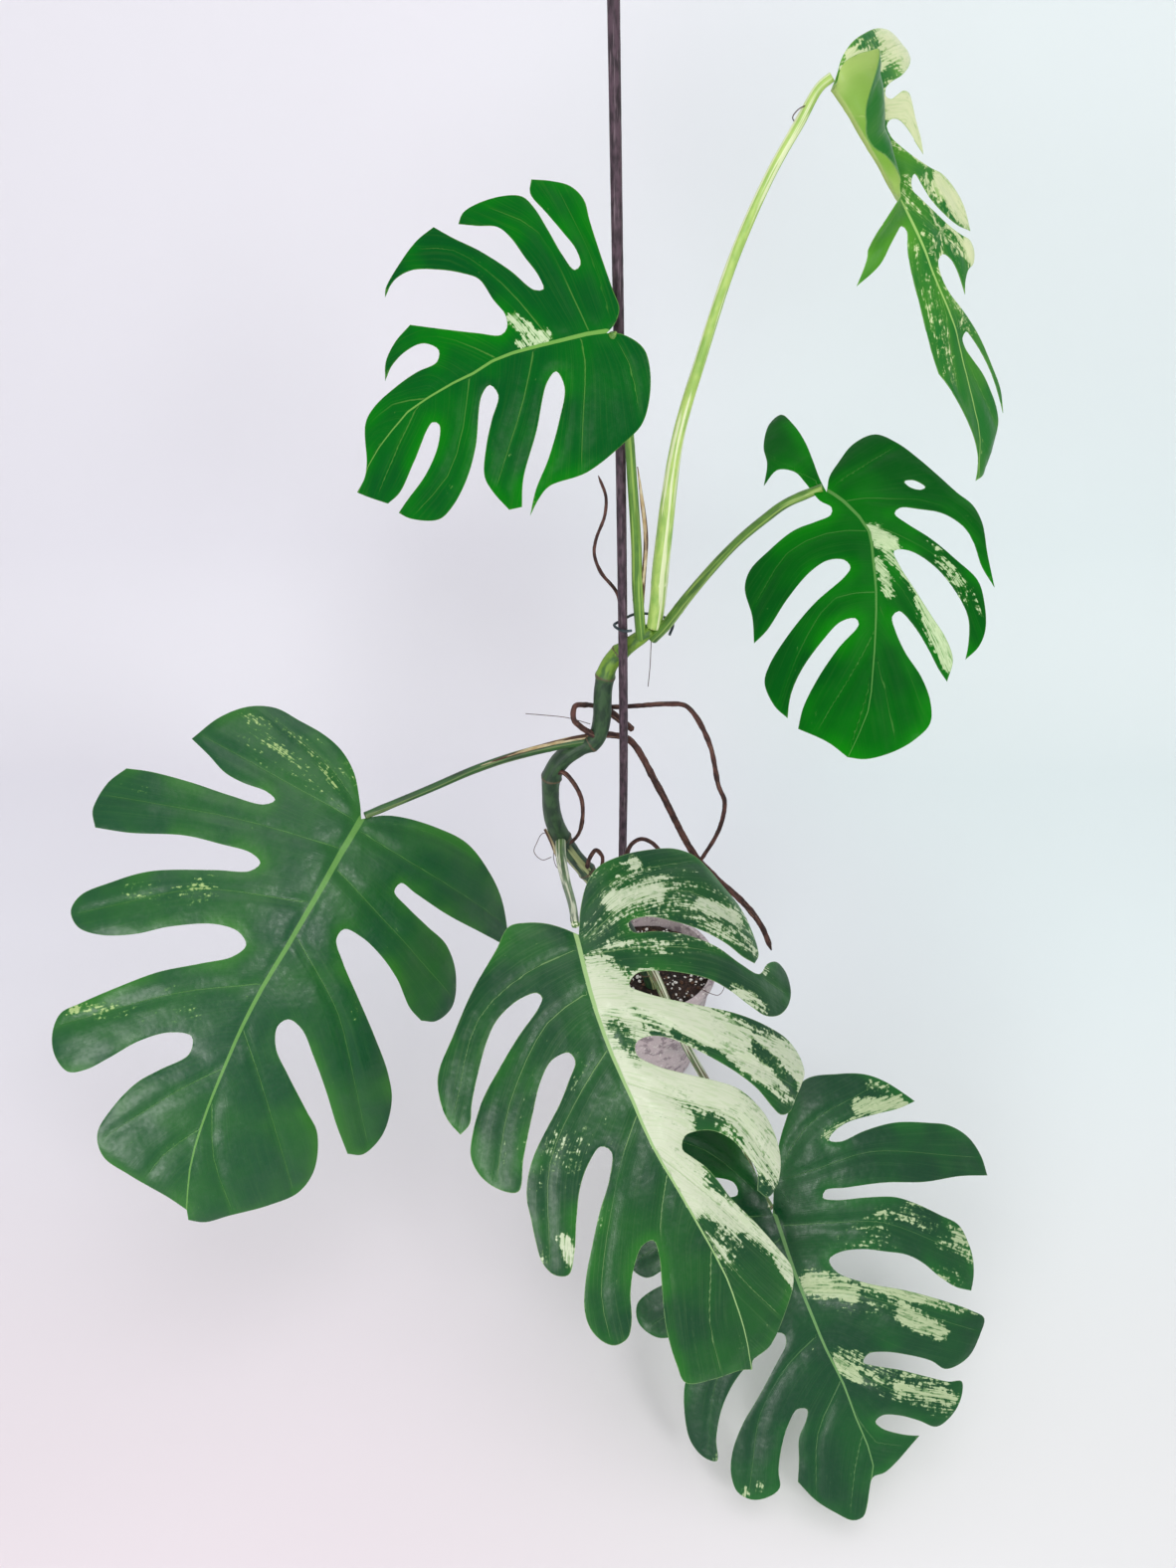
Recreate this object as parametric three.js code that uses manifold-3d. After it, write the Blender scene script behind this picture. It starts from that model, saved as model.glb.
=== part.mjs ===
// Potted variegated monstera: six split leaves on long petioles, a winding stem
// tied to a stake, aerial roots, and a tapered pot filled with soil.
// Millimetres, +Z up. The origin is the middle of the pot's underside.
import * as THREE from 'three';
import { mergeVertices } from 'three/addons/utils/BufferGeometryUtils.js';
import Module from 'manifold-3d';

const wasm = await Module();
wasm.setup();

// Driving dimensions
const pot = { height: 154, rimRadius: 71, baseRadius: 53.5, wall: 2.4, lip: 3, lipHeight: 12 };
const drain = { count: 6, radius: 4, ring: 34 };
const soilLevel = 141;
const grain = { count: 44, smallest: 1.6, largest: 3.2 };
const stakeRadius = 4;
const stemRadius = 7.6;
const bladeThickness = 0.9;
const gap = 0.35;

const degree = Math.PI / 180;
const vec = (p) => new THREE.Vector3(...p);
const smooth = (points) => new THREE.CatmullRomCurve3(points.map(vec), false, 'centripetal');

// Colour, roughness and metalness of each kind of surface
function finish(color, roughness) {
  return new THREE.MeshStandardMaterial({ color, roughness, metalness: 0 });
}
const finishes = {
  pot: finish(0xb5a8a6, 0.85),
  soil: finish(0x241a17, 0.95),
  stake: finish(0x4c3a44, 0.7),
  tie: finish(0x24333a, 0.5),
  stem: finish(0x2c4a26, 0.55),
  petiole: finish(0x6f9a3a, 0.5),
  root: finish(0x54362f, 0.8),
  blade: finish(0x1d6b33, 0.42),
};

// A surface made from a flat list of vertices and a list of triangles
function geometryOf(vertices, triangles) {
  const geometry = new THREE.BufferGeometry();
  geometry.setAttribute('position', new THREE.Float32BufferAttribute(vertices, 3));
  geometry.setIndex(Array.from(triangles));
  geometry.computeVertexNormals();
  return geometry;
}

// The same surface with its shared vertices joined, as a solid needs it
function joined(geometry) {
  geometry.deleteAttribute('normal');
  geometry.deleteAttribute('uv');
  return mergeVertices(geometry, 1e-4);
}

function toSolid(geometry) {
  const vertProperties = new Float32Array(geometry.getAttribute('position').array);
  const triVerts = new Uint32Array(geometry.getIndex().array);
  return new wasm.Manifold(new wasm.Mesh({ numProp: 3, vertProperties, triVerts }));
}

function toGeometry(solid) {
  const mesh = solid.getMesh();
  return geometryOf(Array.from(mesh.vertProperties), mesh.triVerts);
}

// The largest body of a solid, without any crumbs that a cut has left
function mainBody(solid) {
  return solid.decompose().reduce((best, body) => (body.volume() > best.volume() ? body : best));
}

// A tube along a smooth path. It is extruded thin, then each of its rings is widened to
// the radius that the list of radii, spread evenly along the path, gives there.
function tube(path, radii, sides, steps) {
  const curve = smooth(path);
  const ring = new THREE.Shape();
  for (let k = 0; k < sides; k += 1) {
    const turn = (2 * Math.PI * k) / sides;
    ring[k ? 'lineTo' : 'moveTo'](Math.cos(turn), Math.sin(turn));
  }
  const settings = { steps, extrudePath: curve, curveSegments: 1, bevelEnabled: false };
  const geometry = joined(new THREE.ExtrudeGeometry(ring, settings));
  const centres = curve.getSpacedPoints(steps);
  const position = geometry.getAttribute('position');
  const point = new THREE.Vector3();
  for (let i = 0; i < position.count; i += 1) {
    point.fromBufferAttribute(position, i);
    const distances = centres.map((centre) => centre.distanceTo(point));
    const nearest = distances.indexOf(Math.min(...distances));
    const place = (nearest / steps) * (radii.length - 1);
    const from = Math.min(Math.floor(place), radii.length - 2);
    const radius = THREE.MathUtils.lerp(radii[from], radii[from + 1], place - from);
    point.sub(centres[nearest]).multiplyScalar(radius).add(centres[nearest]);
    position.setXYZ(i, point.x, point.y, point.z);
  }
  geometry.computeVertexNormals();
  return geometry;
}

// A profile of [radius, height] pairs turned round the Z axis, from axis to axis
function turned(profile, sides) {
  const points = profile.map(([radius, height]) => new THREE.Vector2(radius, height));
  return joined(new THREE.LatheGeometry(points, sides).rotateX(Math.PI / 2));
}

// Pot: a thin tapered wall with a thicker lip, and drain holes in its floor
function potGeometry() {
  const { height, rimRadius, baseRadius, wall, lip, lipHeight } = pot;
  const shoulder = height - lipHeight;
  const outerAt = (z) => THREE.MathUtils.lerp(baseRadius, rimRadius - lip, z / height);
  const profile = [
    [0, 0], [baseRadius - 3, 0], [baseRadius, 3], [outerAt(shoulder), shoulder],
    [rimRadius, shoulder + 2], [rimRadius, height - 1], [rimRadius - 1, height],
    [outerAt(height) - wall, height], [outerAt(4) - wall - 1, 4], [0, 4],
  ];
  let solid = toSolid(turned(profile, 56));
  for (let i = 0; i < drain.count; i += 1) {
    const turn = (2 * Math.PI * (i + 0.5)) / drain.count;
    const hole = turned([[0, -2], [drain.radius, -2], [drain.radius, 8], [0, 8]], 12);
    hole.translate(drain.ring * Math.cos(turn), drain.ring * Math.sin(turn), 0);
    solid = solid.subtract(toSolid(hole));
  }
  return toGeometry(solid);
}

// Stake and stem routes, each a list of points on its middle line
const stakePath = [[-32, 0, 6], [-33.8, 0, 332], [-35, 0, 436], [-42, 0, 699], [-50, 0, 944],
  [-58, 0, 1200]];
const stemPath = [
  [4, -21, 60], [2, -22, 110], [0, -22, 148], [-30, -19, 228], [-64, -9, 290], [-82, -3, 313],
  [-94, 0, 334], [-102, 2, 360], [-104, 4, 389], [-102, 5, 412], [-92, 7, 430], [-76, 8, 443],
  [-62, 9, 451], [-56, 10, 470], [-54, 12, 509], [-49, 14, 531], [-36, 15, 547],
  [-23, 14, 559], [-13, 13, 569],
];
const stemRadii = [0.8, 1, 1, 0.96, 1.04, 0.98, 1, 1.12, 0.98, 1.08, 0.98, 1, 0.9, 0.7];

// The same tube a little thicker and longer, to keep its neighbours clear of it
function guard(path, radii, sides, steps) {
  const [first, second] = path.slice(0, 2).map(vec);
  const [before, last] = path.slice(-2).map(vec);
  const start = first.clone().addScaledVector(second.sub(first).normalize(), -2 * gap);
  const end = last.clone().addScaledVector(before.sub(last).normalize(), -2 * gap);
  const longer = [start.toArray(), ...path.slice(1, -1), end.toArray()];
  return toSolid(tube(longer, radii.map((radius) => radius + 1.4 * gap), sides, steps));
}

// Soil: a lumpy plug inside the pot, with white grains and holes for stem and stake
function soilGeometry(holes) {
  const inner = (z) => THREE.MathUtils.lerp(pot.baseRadius, pot.rimRadius - pot.lip, z / pot.height)
    - pot.wall - 1 - gap;
  const lump = (x, y) => 1.6 * Math.sin(0.21 * x + 0.6) * Math.cos(0.17 * y)
    + 1.1 * Math.sin(0.43 * y + 0.31 * x);
  const foot = 4 + gap;
  const radii = [1, 0.86, 0.7, 0.54, 0.38, 0.2];
  const rim = inner(soilLevel);
  const profile = [[0, foot], [inner(foot), foot], ...radii.map((r) => [rim * r, soilLevel])];
  const body = turned([...profile, [0, soilLevel]], 28);
  const position = body.getAttribute('position');
  for (let i = 0; i < position.count; i += 1) {
    if (position.getZ(i) > foot + 1) {
      const [x, y] = [position.getX(i), position.getY(i)];
      const dome = 3 * (1 - (x * x + y * y) / (rim * rim));
      position.setZ(i, soilLevel + dome + lump(x, y));
    }
  }
  let solid = toSolid(body);
  const golden = Math.PI * (3 - Math.sqrt(5));
  for (let i = 0; i < grain.count; i += 1) {
    const ring = (rim - 5) * Math.sqrt((i + 0.5) / grain.count);
    const [x, y] = [ring * Math.cos(i * golden), ring * Math.sin(i * golden)];
    const size = THREE.MathUtils.lerp(grain.smallest, grain.largest, (i * 0.618) % 1);
    const pebble = turned([[0, -size], [0.9 * size, -0.2 * size], [0.6 * size, 0.7 * size],
      [0, 0.9 * size]], 5);
    const dome = 3 * (1 - (ring * ring) / (rim * rim));
    pebble.rotateZ(i);
    pebble.translate(x, y, soilLevel + dome + lump(x, y) + 0.2 * size);
    solid = solid.add(toSolid(pebble));
  }
  return toGeometry(mainBody(holes.reduce((left, hole) => left.subtract(hole), solid)));
}

// A value somewhere from the start, 0, to the end, 1, of a list spread evenly between
// them; a single number holds all the way
function spread(values, share) {
  if (!Array.isArray(values)) return values;
  const at = THREE.MathUtils.clamp(share, 0, 1) * (values.length - 1);
  const from = Math.min(Math.floor(at), values.length - 2);
  return THREE.MathUtils.lerp(values[from], values[from + 1], at - from);
}

// Where a leaf's own flat sheet stands in space: x to the right of the midrib as seen
// from above with the tip up, y from the petiole to the tip, both measured on the sheet.
// Fold is the angle each half hangs down at the midrib, droop how far it curls beyond.
function leafSheet(leaf) {
  const [turn, dip, roll] = [leaf.heading, leaf.pitch, leaf.roll].map((a) => a * degree);
  const along = new THREE.Vector3(
    Math.cos(dip) * Math.cos(turn), Math.cos(dip) * Math.sin(turn), -Math.sin(dip));
  const level = new THREE.Vector3(Math.sin(turn), -Math.cos(turn), 0);
  const upright = level.clone().cross(along);
  const across = level.clone().multiplyScalar(Math.cos(roll));
  across.addScaledVector(upright, -Math.sin(roll));
  const face = level.multiplyScalar(Math.sin(roll)).addScaledVector(upright, Math.cos(roll));
  const arc = (bend, distance) => (Math.abs(bend) < 1e-6 ? [distance, 0]
    : [Math.sin(bend * distance) / bend, (1 - Math.cos(bend * distance)) / bend]);
  return (x, y) => {
    const side = x > 0 ? 1 : 0;
    const lean = (leaf.arch * degree) / leaf.length;
    const droop = (spread(leaf.droop[side], y / leaf.length) * degree) / leaf.half;
    const fold = spread(leaf.fold[side], y / leaf.length) * degree;
    const [run, fall] = arc(lean, y);
    const [flat, bow] = arc(droop, Math.abs(x));
    const reach = flat * Math.cos(fold) - bow * Math.sin(fold);
    const sag = flat * Math.sin(fold) + bow * Math.cos(fold);
    const twist = (leaf.twist * degree * y) / leaf.length;
    const out = Math.sign(x) * reach;
    const aside = out * Math.cos(twist) - sag * Math.sin(twist);
    const lift = -out * Math.sin(twist) - sag * Math.cos(twist);
    const tilt = lean * y;
    const point = vec(leaf.junction).addScaledVector(along, run + lift * Math.sin(tilt));
    point.addScaledVector(face, -fall + lift * Math.cos(tilt));
    return point.addScaledVector(across, aside);
  };
}

// The sheet's outline: smooth runs between tips, with a point every "spacing" or so
function outlinePoints(edge, spacing) {
  const tips = edge.map((p, i) => (p[2] ? i : -1)).filter((i) => i >= 0);
  const count = edge.length;
  const points = [];
  const stops = tips.length ? [...tips, tips[0] + count] : [0, count];
  for (let s = 0; s + 1 < stops.length; s += 1) {
    const run = [];
    for (let i = stops[s]; i <= stops[s + 1]; i += 1) run.push(edge[i % count]);
    const curve = smooth(run.map(([x, y]) => [x, y, 0]));
    for (let i = 0; i + 1 < run.length; i += 1) {
      const length = Math.hypot(run[i + 1][0] - run[i][0], run[i + 1][1] - run[i][1]);
      const parts = Math.max(1, Math.round(length / spacing));
      for (let k = 0; k < parts; k += 1) {
        const p = curve.getPoint((i + k / parts) / (run.length - 1));
        points.push([p.x, p.y]);
      }
    }
  }
  return points;
}

function isInside(x, y, loop) {
  let inside = false;
  for (let i = 0, j = loop.length - 1; i < loop.length; j = i, i += 1) {
    const [[xi, yi], [xj, yj]] = [loop[i], loop[j]];
    if ((yi > y) !== (yj > y) && x < ((xj - xi) * (y - yi)) / (yj - yi) + xi) inside = !inside;
  }
  return inside;
}

// Delaunay triangles of a set of points, added one by one
function delaunay(points) {
  const far = 1e4;
  const all = [...points, [-far, -far], [far, -far], [0, far]];
  const circle = (t) => {
    const [[ax, ay], [bx, by], [cx, cy]] = t.map((i) => all[i]);
    const d = 2 * (ax * (by - cy) + bx * (cy - ay) + cx * (ay - by));
    const [a, b, c] = [ax * ax + ay * ay, bx * bx + by * by, cx * cx + cy * cy];
    const x = (a * (by - cy) + b * (cy - ay) + c * (ay - by)) / d;
    const y = (a * (cx - bx) + b * (ax - cx) + c * (bx - ax)) / d;
    return { t, x, y, reach: Math.hypot(ax - x, ay - y) };
  };
  const n = points.length;
  let triangles = [circle([n, n + 1, n + 2])];
  points.forEach(([x, y], index) => {
    const open = new Map();
    const kept = [];
    for (const tri of triangles) {
      if (Math.hypot(x - tri.x, y - tri.y) >= tri.reach - 1e-9) {
        kept.push(tri);
        continue;
      }
      for (let k = 0; k < 3; k += 1) {
        const [a, b] = [tri.t[k], tri.t[(k + 1) % 3]];
        if (open.has(`${b},${a}`)) open.delete(`${b},${a}`);
        else open.set(`${a},${b}`, [a, b]);
      }
    }
    for (const [a, b] of open.values()) kept.push(circle([a, b, index]));
    triangles = kept;
  });
  return triangles.map((tri) => tri.t).filter((t) => Math.max(...t) < n);
}

// Leaf blade: the flat outline cut into triangles, alike on both faces, then bent
function bladeGeometry(leaf, thickness) {
  const loops = [leaf.edge, ...(leaf.holes ?? [])].map((edge) => outlinePoints(edge, leaf.spacing));
  const inBlade = (x, y) => loops.filter((loop) => isInside(x, y, loop)).length === 1;
  const points = loops.flat();
  const border = points.length;
  const step = leaf.spacing * 1.7;
  for (let row = -8; row * step * 0.866 < leaf.length; row += 1) {
    for (let column = -14; column < 15; column += 1) {
      const [x, y] = [(column + (row & 1) / 2) * step, row * step * 0.866];
      const near = points.slice(0, border).some(([px, py]) => Math.hypot(px - x, py - y) < 0.5 * step);
      if (!near && inBlade(x, y)) points.push([x, y]);
    }
  }
  const triangles = delaunay(points).filter((t) => {
    const [x, y] = [0, 1].map((axis) => t.reduce((sum, i) => sum + points[i][axis], 0) / 3);
    return inBlade(x, y);
  }).map((t) => {
    const [[ax, ay], [bx, by], [cx, cy]] = t.map((i) => points[i]);
    return (bx - ax) * (cy - ay) - (by - ay) * (cx - ax) > 0 ? t : [t[0], t[2], t[1]];
  });
  const sheet = leafSheet(leaf);
  const upper = [];
  const lower = [];
  for (const [x, y] of points) {
    const here = sheet(x, y);
    const normal = sheet(x + 0.5, y).sub(sheet(x - 0.5, y))
      .cross(sheet(x, y + 0.5).sub(sheet(x, y - 0.5))).normalize();
    upper.push(...here.clone().addScaledVector(normal, thickness / 2).toArray());
    lower.push(...here.clone().addScaledVector(normal, -thickness / 2).toArray());
  }
  const count = points.length;
  const faces = [];
  const edges = new Map();
  for (const [a, b, c] of triangles) {
    faces.push(a, b, c, a + count, c + count, b + count);
    for (const [from, to] of [[a, b], [b, c], [c, a]]) {
      if (edges.has(`${to},${from}`)) edges.delete(`${to},${from}`);
      else edges.set(`${from},${to}`, [from, to]);
    }
  }
  for (const [from, to] of edges.values()) {
    faces.push(from, from + count, to, to, from + count, to + count);
  }
  return geometryOf([...upper, ...lower], faces);
}

// Leaves. A third value of 1 in an outline marks a sharp tip or corner.
const lowerLeftLeaf = {
  junction: [-262, -90, 445],
  heading: -111, pitch: 31, roll: -40, twist: 0, fold: [0, 0], arch: 20, droop: [30, 25],
  length: 362, half: 180, spacing: 13,
  edge: [
    [0, 3, 1], [7, -10], [21, -32], [38, -46], [56, -53], [81, -57], [103, -60], [124, -53],
    [143, -35], [157, -9, 1], [138, 0], [121, 9], [104, 12], [83, 12], [74, 16], [81, 23],
    [110, 26], [144, 27], [178, 30], [197, 34, 1], [206, 50], [209, 68], [208, 79], [200, 91, 1],
    [172, 85], [130, 71], [100, 67], [75, 65], [65, 70], [70, 79], [97, 89], [144, 109],
    [169, 129], [187, 148], [189, 163], [178, 173], [159, 172], [134, 161], [111, 145],
    [79, 130], [59, 129], [49, 137], [55, 149], [77, 164], [104, 182], [127, 204], [150, 229],
    [161, 243], [160, 261], [151, 276], [136, 284], [124, 277], [112, 262], [95, 239],
    [76, 224], [59, 221], [55, 235], [71, 255], [83, 271], [92, 297], [94, 321], [82, 337],
    [57, 344], [20, 352], [2, 358, 1], [-3, 366, 1], [-17, 364], [-33, 354], [-62, 338],
    [-83, 322], [-88, 301], [-75, 267], [-56, 250], [-28, 226], [-8, 207], [-2, 190],
    [-8, 182], [-22, 186], [-42, 205], [-65, 229], [-88, 255], [-113, 280, 1], [-130, 278],
    [-141, 258], [-135, 226], [-118, 202], [-88, 173], [-58, 146], [-32, 122], [-19, 106],
    [-22, 96], [-39, 97], [-61, 105], [-87, 120], [-111, 140], [-129, 148, 1], [-147, 144],
    [-159, 127], [-148, 98], [-124, 76], [-96, 67], [-69, 58], [-52, 50], [-55, 41],
    [-71, 44], [-111, 50], [-160, 52], [-206, 53, 1], [-195, 38], [-170, 13], [-142, -4],
    [-105, -18], [-69, -18], [-34, -13], [-16, -7],
  ],
};
const upperLeftLeaf = {
  junction: [-52, -30, 839],
  heading: -172, pitch: 28, roll: -60, twist: 0, fold: [0, 0], arch: 25, droop: [25, 15],
  length: 235, half: 110, spacing: 10,
  edge: [
    [0, 4, 1], [2, -3], [9, -11], [23, -13], [45, -16], [70, -20], [85, -23], [98, -19],
    [109, -8], [117, 3, 1], [109, 8], [91, 4], [74, 0], [58, -3], [48, -1], [47, 4], [61, 7],
    [78, 8], [99, 10], [110, 14], [118, 26], [124, 46], [124, 58], [119, 64, 1], [110, 52],
    [101, 39], [90, 34], [73, 31], [56, 28], [47, 29], [50, 35], [70, 44], [94, 58], [113, 72],
    [128, 82, 1], [127, 98], [121, 116], [111, 136], [106, 139, 1], [112, 128], [111, 112],
    [99, 91], [87, 76], [77, 67], [59, 64], [46, 61], [38, 64], [36, 70], [46, 85], [64, 110],
    [78, 129, 1], [74, 146], [66, 160], [55, 167, 1], [61, 157], [64, 140], [61, 125],
    [51, 117], [45, 122], [47, 140], [47, 160], [44, 186], [38, 199], [15, 214], [6, 223],
    [0, 237, 1], [-6, 231], [-20, 216, 1], [-18, 201], [-5, 176], [11, 147], [7, 143],
    [-4, 151], [-17, 172], [-26, 200], [-30, 212, 1], [-38, 206], [-50, 185], [-48, 170],
    [-37, 147], [-20, 126], [8, 103], [11, 94], [2, 92], [-10, 105], [-24, 119], [-41, 132],
    [-53, 133], [-71, 130, 1], [-74, 120, 1], [-57, 107], [-33, 80], [-8, 56], [-5, 47],
    [-17, 47], [-35, 62], [-54, 83], [-68, 103], [-83, 119, 1], [-75, 105], [-71, 93],
    [-76, 63], [-71, 29], [-65, 10], [-45, -7], [-25, -14], [-16, -12], [-5, -4],
  ],
};
const upperRightLeaf = {
  junction: [85, 0, 985],
  heading: -4, pitch: 48, roll: 0, twist: 10, arch: 24,
  fold: [[-50, -50, -50, -48, -45, -44, -42, -40, -38, -36, -34, -32, -30],
    [-78, -76, -70, -60, 60, 58, 50, 40, 35, 30, 25, 20, 15]],
  droop: [[60, 50, 40, 30, 20], [175, 285, 430, 600, 40, 30, 30, 30, 30, 30, 30, 30, 30]],
  length: 312, half: 120, spacing: 9,
  edge: [
    [0, 5, 1], [10, -2], [22, -2], [36, 0], [50, 0], [61, 5], [65, 14], [59, 27], [46, 42],
    [31, 55], [20, 66], [13, 74], [7, 79], [8, 84], [20, 85], [30, 93], [37, 106],
    [52, 119, 1], [32, 116], [18, 108], [8, 104], [6, 109], [11, 119], [16, 138], [19, 155],
    [23, 173], [26, 190], [27, 206, 1], [23, 217], [17, 238], [12, 258], [9, 274], [9, 286],
    [13, 293], [20, 299, 1], [6, 302], [-4, 297], [-16, 287], [-26, 276], [-26, 262],
    [-23, 250], [-18, 234], [-10, 217], [-6, 206], [-6, 198], [-11, 196], [-16, 205],
    [-21, 217], [-27, 234], [-31, 250], [-35, 274, 1], [-37, 257], [-31, 233], [-24, 207],
    [-17, 188], [-12, 176], [-8, 166], [-6, 156], [-6, 147], [-8, 140], [-14, 139],
    [-20, 147], [-22, 156], [-22, 174, 1], [-26, 168], [-34, 163], [-44, 163], [-50, 157],
    [-49, 149], [-42, 142], [-32, 130], [-22, 112], [-15, 98], [-12, 90], [-15, 85],
    [-20, 84], [-22, 94], [-24, 104], [-30, 118], [-40, 133], [-54, 145, 1], [-58, 130],
    [-56, 116], [-49, 102], [-37, 90], [-27, 77], [-20, 65], [-16, 55], [-17, 48],
    [-22, 47], [-29, 51], [-33, 60], [-34, 70], [-36, 80, 1], [-41, 72], [-45, 62],
    [-50, 54], [-54, 47], [-50, 43], [-42, 41], [-33, 39], [-30, 35], [-34, 32], [-44, 33],
    [-56, 36], [-70, 38], [-88, 39], [-102, 38], [-108, 30], [-100, 20], [-84, 13],
    [-66, 6], [-49, 1], [-30, -3], [-14, -2],
  ],
};
const middleRightLeaf = {
  junction: [105, -50, 733],
  heading: -93, pitch: 22, roll: 20, twist: 0, fold: [0, 0], arch: 20, droop: [30, 25],
  length: 212, half: 90, spacing: 9,
  edge: [
    [-1, 4, 1], [-4, -9], [-11, -21], [-23, -38], [-39, -46], [-55, -36], [-70, -20],
    [-84, -4], [-96, 9], [-107, 18], [-113, 33], [-114, 62], [-116, 90, 1], [-108, 74],
    [-104, 54], [-98, 41], [-84, 31], [-66, 28], [-52, 27], [-48, 32], [-56, 41], [-72, 54],
    [-89, 71], [-103, 86], [-106, 104], [-104, 126], [-97, 140], [-86, 150, 1], [-90, 136],
    [-92, 117], [-85, 97], [-72, 77], [-55, 64], [-45, 64], [-48, 77], [-56, 95], [-66, 117],
    [-74, 134], [-77, 150], [-71, 166, 1], [-66, 156], [-61, 142], [-53, 124], [-44, 112],
    [-39, 116], [-40, 126], [-45, 143], [-54, 162], [-58, 180], [-56, 195], [-45, 205],
    [-30, 212], [-11, 215], [1, 212, 1], [13, 200], [33, 187, 1], [28, 173], [15, 153],
    [-1, 134], [-16, 119], [-14, 114], [-4, 115], [10, 127], [27, 146], [36, 162],
    [40, 178, 1], [49, 167], [55, 148], [50, 136], [35, 118], [13, 97], [-9, 81], [-14, 74],
    [-10, 67], [1, 65], [14, 71], [33, 89], [50, 109], [61, 116, 1], [61, 95], [66, 68],
    [61, 55], [45, 44], [25, 33], [8, 30], [-3, 27], [-4, 20], [4, 12], [14, -8, 1], [22, -22],
    [36, -30], [47, -19, 1], [44, -40], [47, -62], [42, -86], [33, -92], [22, -74],
    [13, -50], [8, -30], [3, -8],
  ],
  holes: [[[-56, 2], [-61, 8], [-68, 10], [-72, 7], [-64, 1]]],
};
const frontLeaf = {
  junction: [-78, -218, 445],
  heading: -60, pitch: 32.3, roll: 5, twist: 0, fold: [0, 0], arch: 25, droop: [40, 30],
  length: 375, half: 180, spacing: 13,
  edge: [
    [0, 8, 1], [8, 0], [20, -10], [34, -17], [48, -20], [65, -7], [94, 14], [120, 38],
    [143, 61], [149, 77], [150, 96], [145, 111, 1], [135, 106], [128, 93], [115, 74],
    [98, 53], [85, 42], [65, 35], [49, 36], [47, 41], [53, 47], [75, 60], [99, 77],
    [119, 93], [136, 114], [144, 130], [142, 148], [131, 163], [120, 168], [107, 146],
    [88, 118], [73, 98], [59, 87], [45, 87], [43, 95], [53, 106], [66, 119], [82, 132],
    [98, 146], [109, 160], [116, 175], [119, 192], [122, 210], [123, 226], [118, 238],
    [108, 242], [98, 228], [87, 204], [75, 182], [62, 168], [50, 161], [44, 168], [53, 186],
    [69, 206], [83, 227], [97, 250], [106, 272], [107, 288], [102, 301], [94, 308], [83, 306],
    [76, 295], [69, 273], [60, 256], [48, 243], [39, 243], [39, 256], [45, 278], [53, 310],
    [55, 342], [53, 360], [34, 367], [9, 372], [0, 377, 1], [-3, 370], [-20, 367], [-44, 348],
    [-57, 334], [-61, 321], [-54, 298], [-44, 272], [-31, 243], [-26, 226], [-21, 212],
    [-13, 199], [-8, 190], [-14, 182], [-34, 187], [-48, 200], [-56, 216], [-61, 236],
    [-55, 249, 1], [-62, 259], [-73, 256], [-83, 246], [-89, 232], [-90, 211], [-86, 194],
    [-74, 172], [-56, 156], [-34, 140], [-14, 124], [-3, 110], [-6, 102], [-16, 101],
    [-31, 108], [-46, 122], [-63, 141], [-79, 161], [-91, 180], [-98, 198, 1], [-104, 209],
    [-116, 212], [-128, 206], [-140, 201], [-152, 194], [-154, 180], [-147, 161],
    [-127, 139], [-100, 117], [-67, 96], [-44, 81], [-27, 68], [-20, 60], [-29, 54],
    [-46, 58], [-70, 70], [-91, 84], [-106, 100], [-120, 119], [-133, 133], [-151, 139],
    [-171, 136], [-184, 127], [-189, 112], [-182, 99], [-165, 95], [-147, 99], [-130, 84],
    [-112, 62], [-88, 43], [-62, 30], [-42, 23], [-42, 15], [-59, 16], [-81, 28], [-104, 44],
    [-124, 63], [-136, 79], [-147, 89, 1], [-158, 84], [-164, 62], [-163, 39], [-154, 17],
    [-145, -4], [-136, -18], [-118, -29], [-92, -35], [-63, -38], [-39, -36], [-24, -27],
    [-9, -9],
  ],
};
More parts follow.
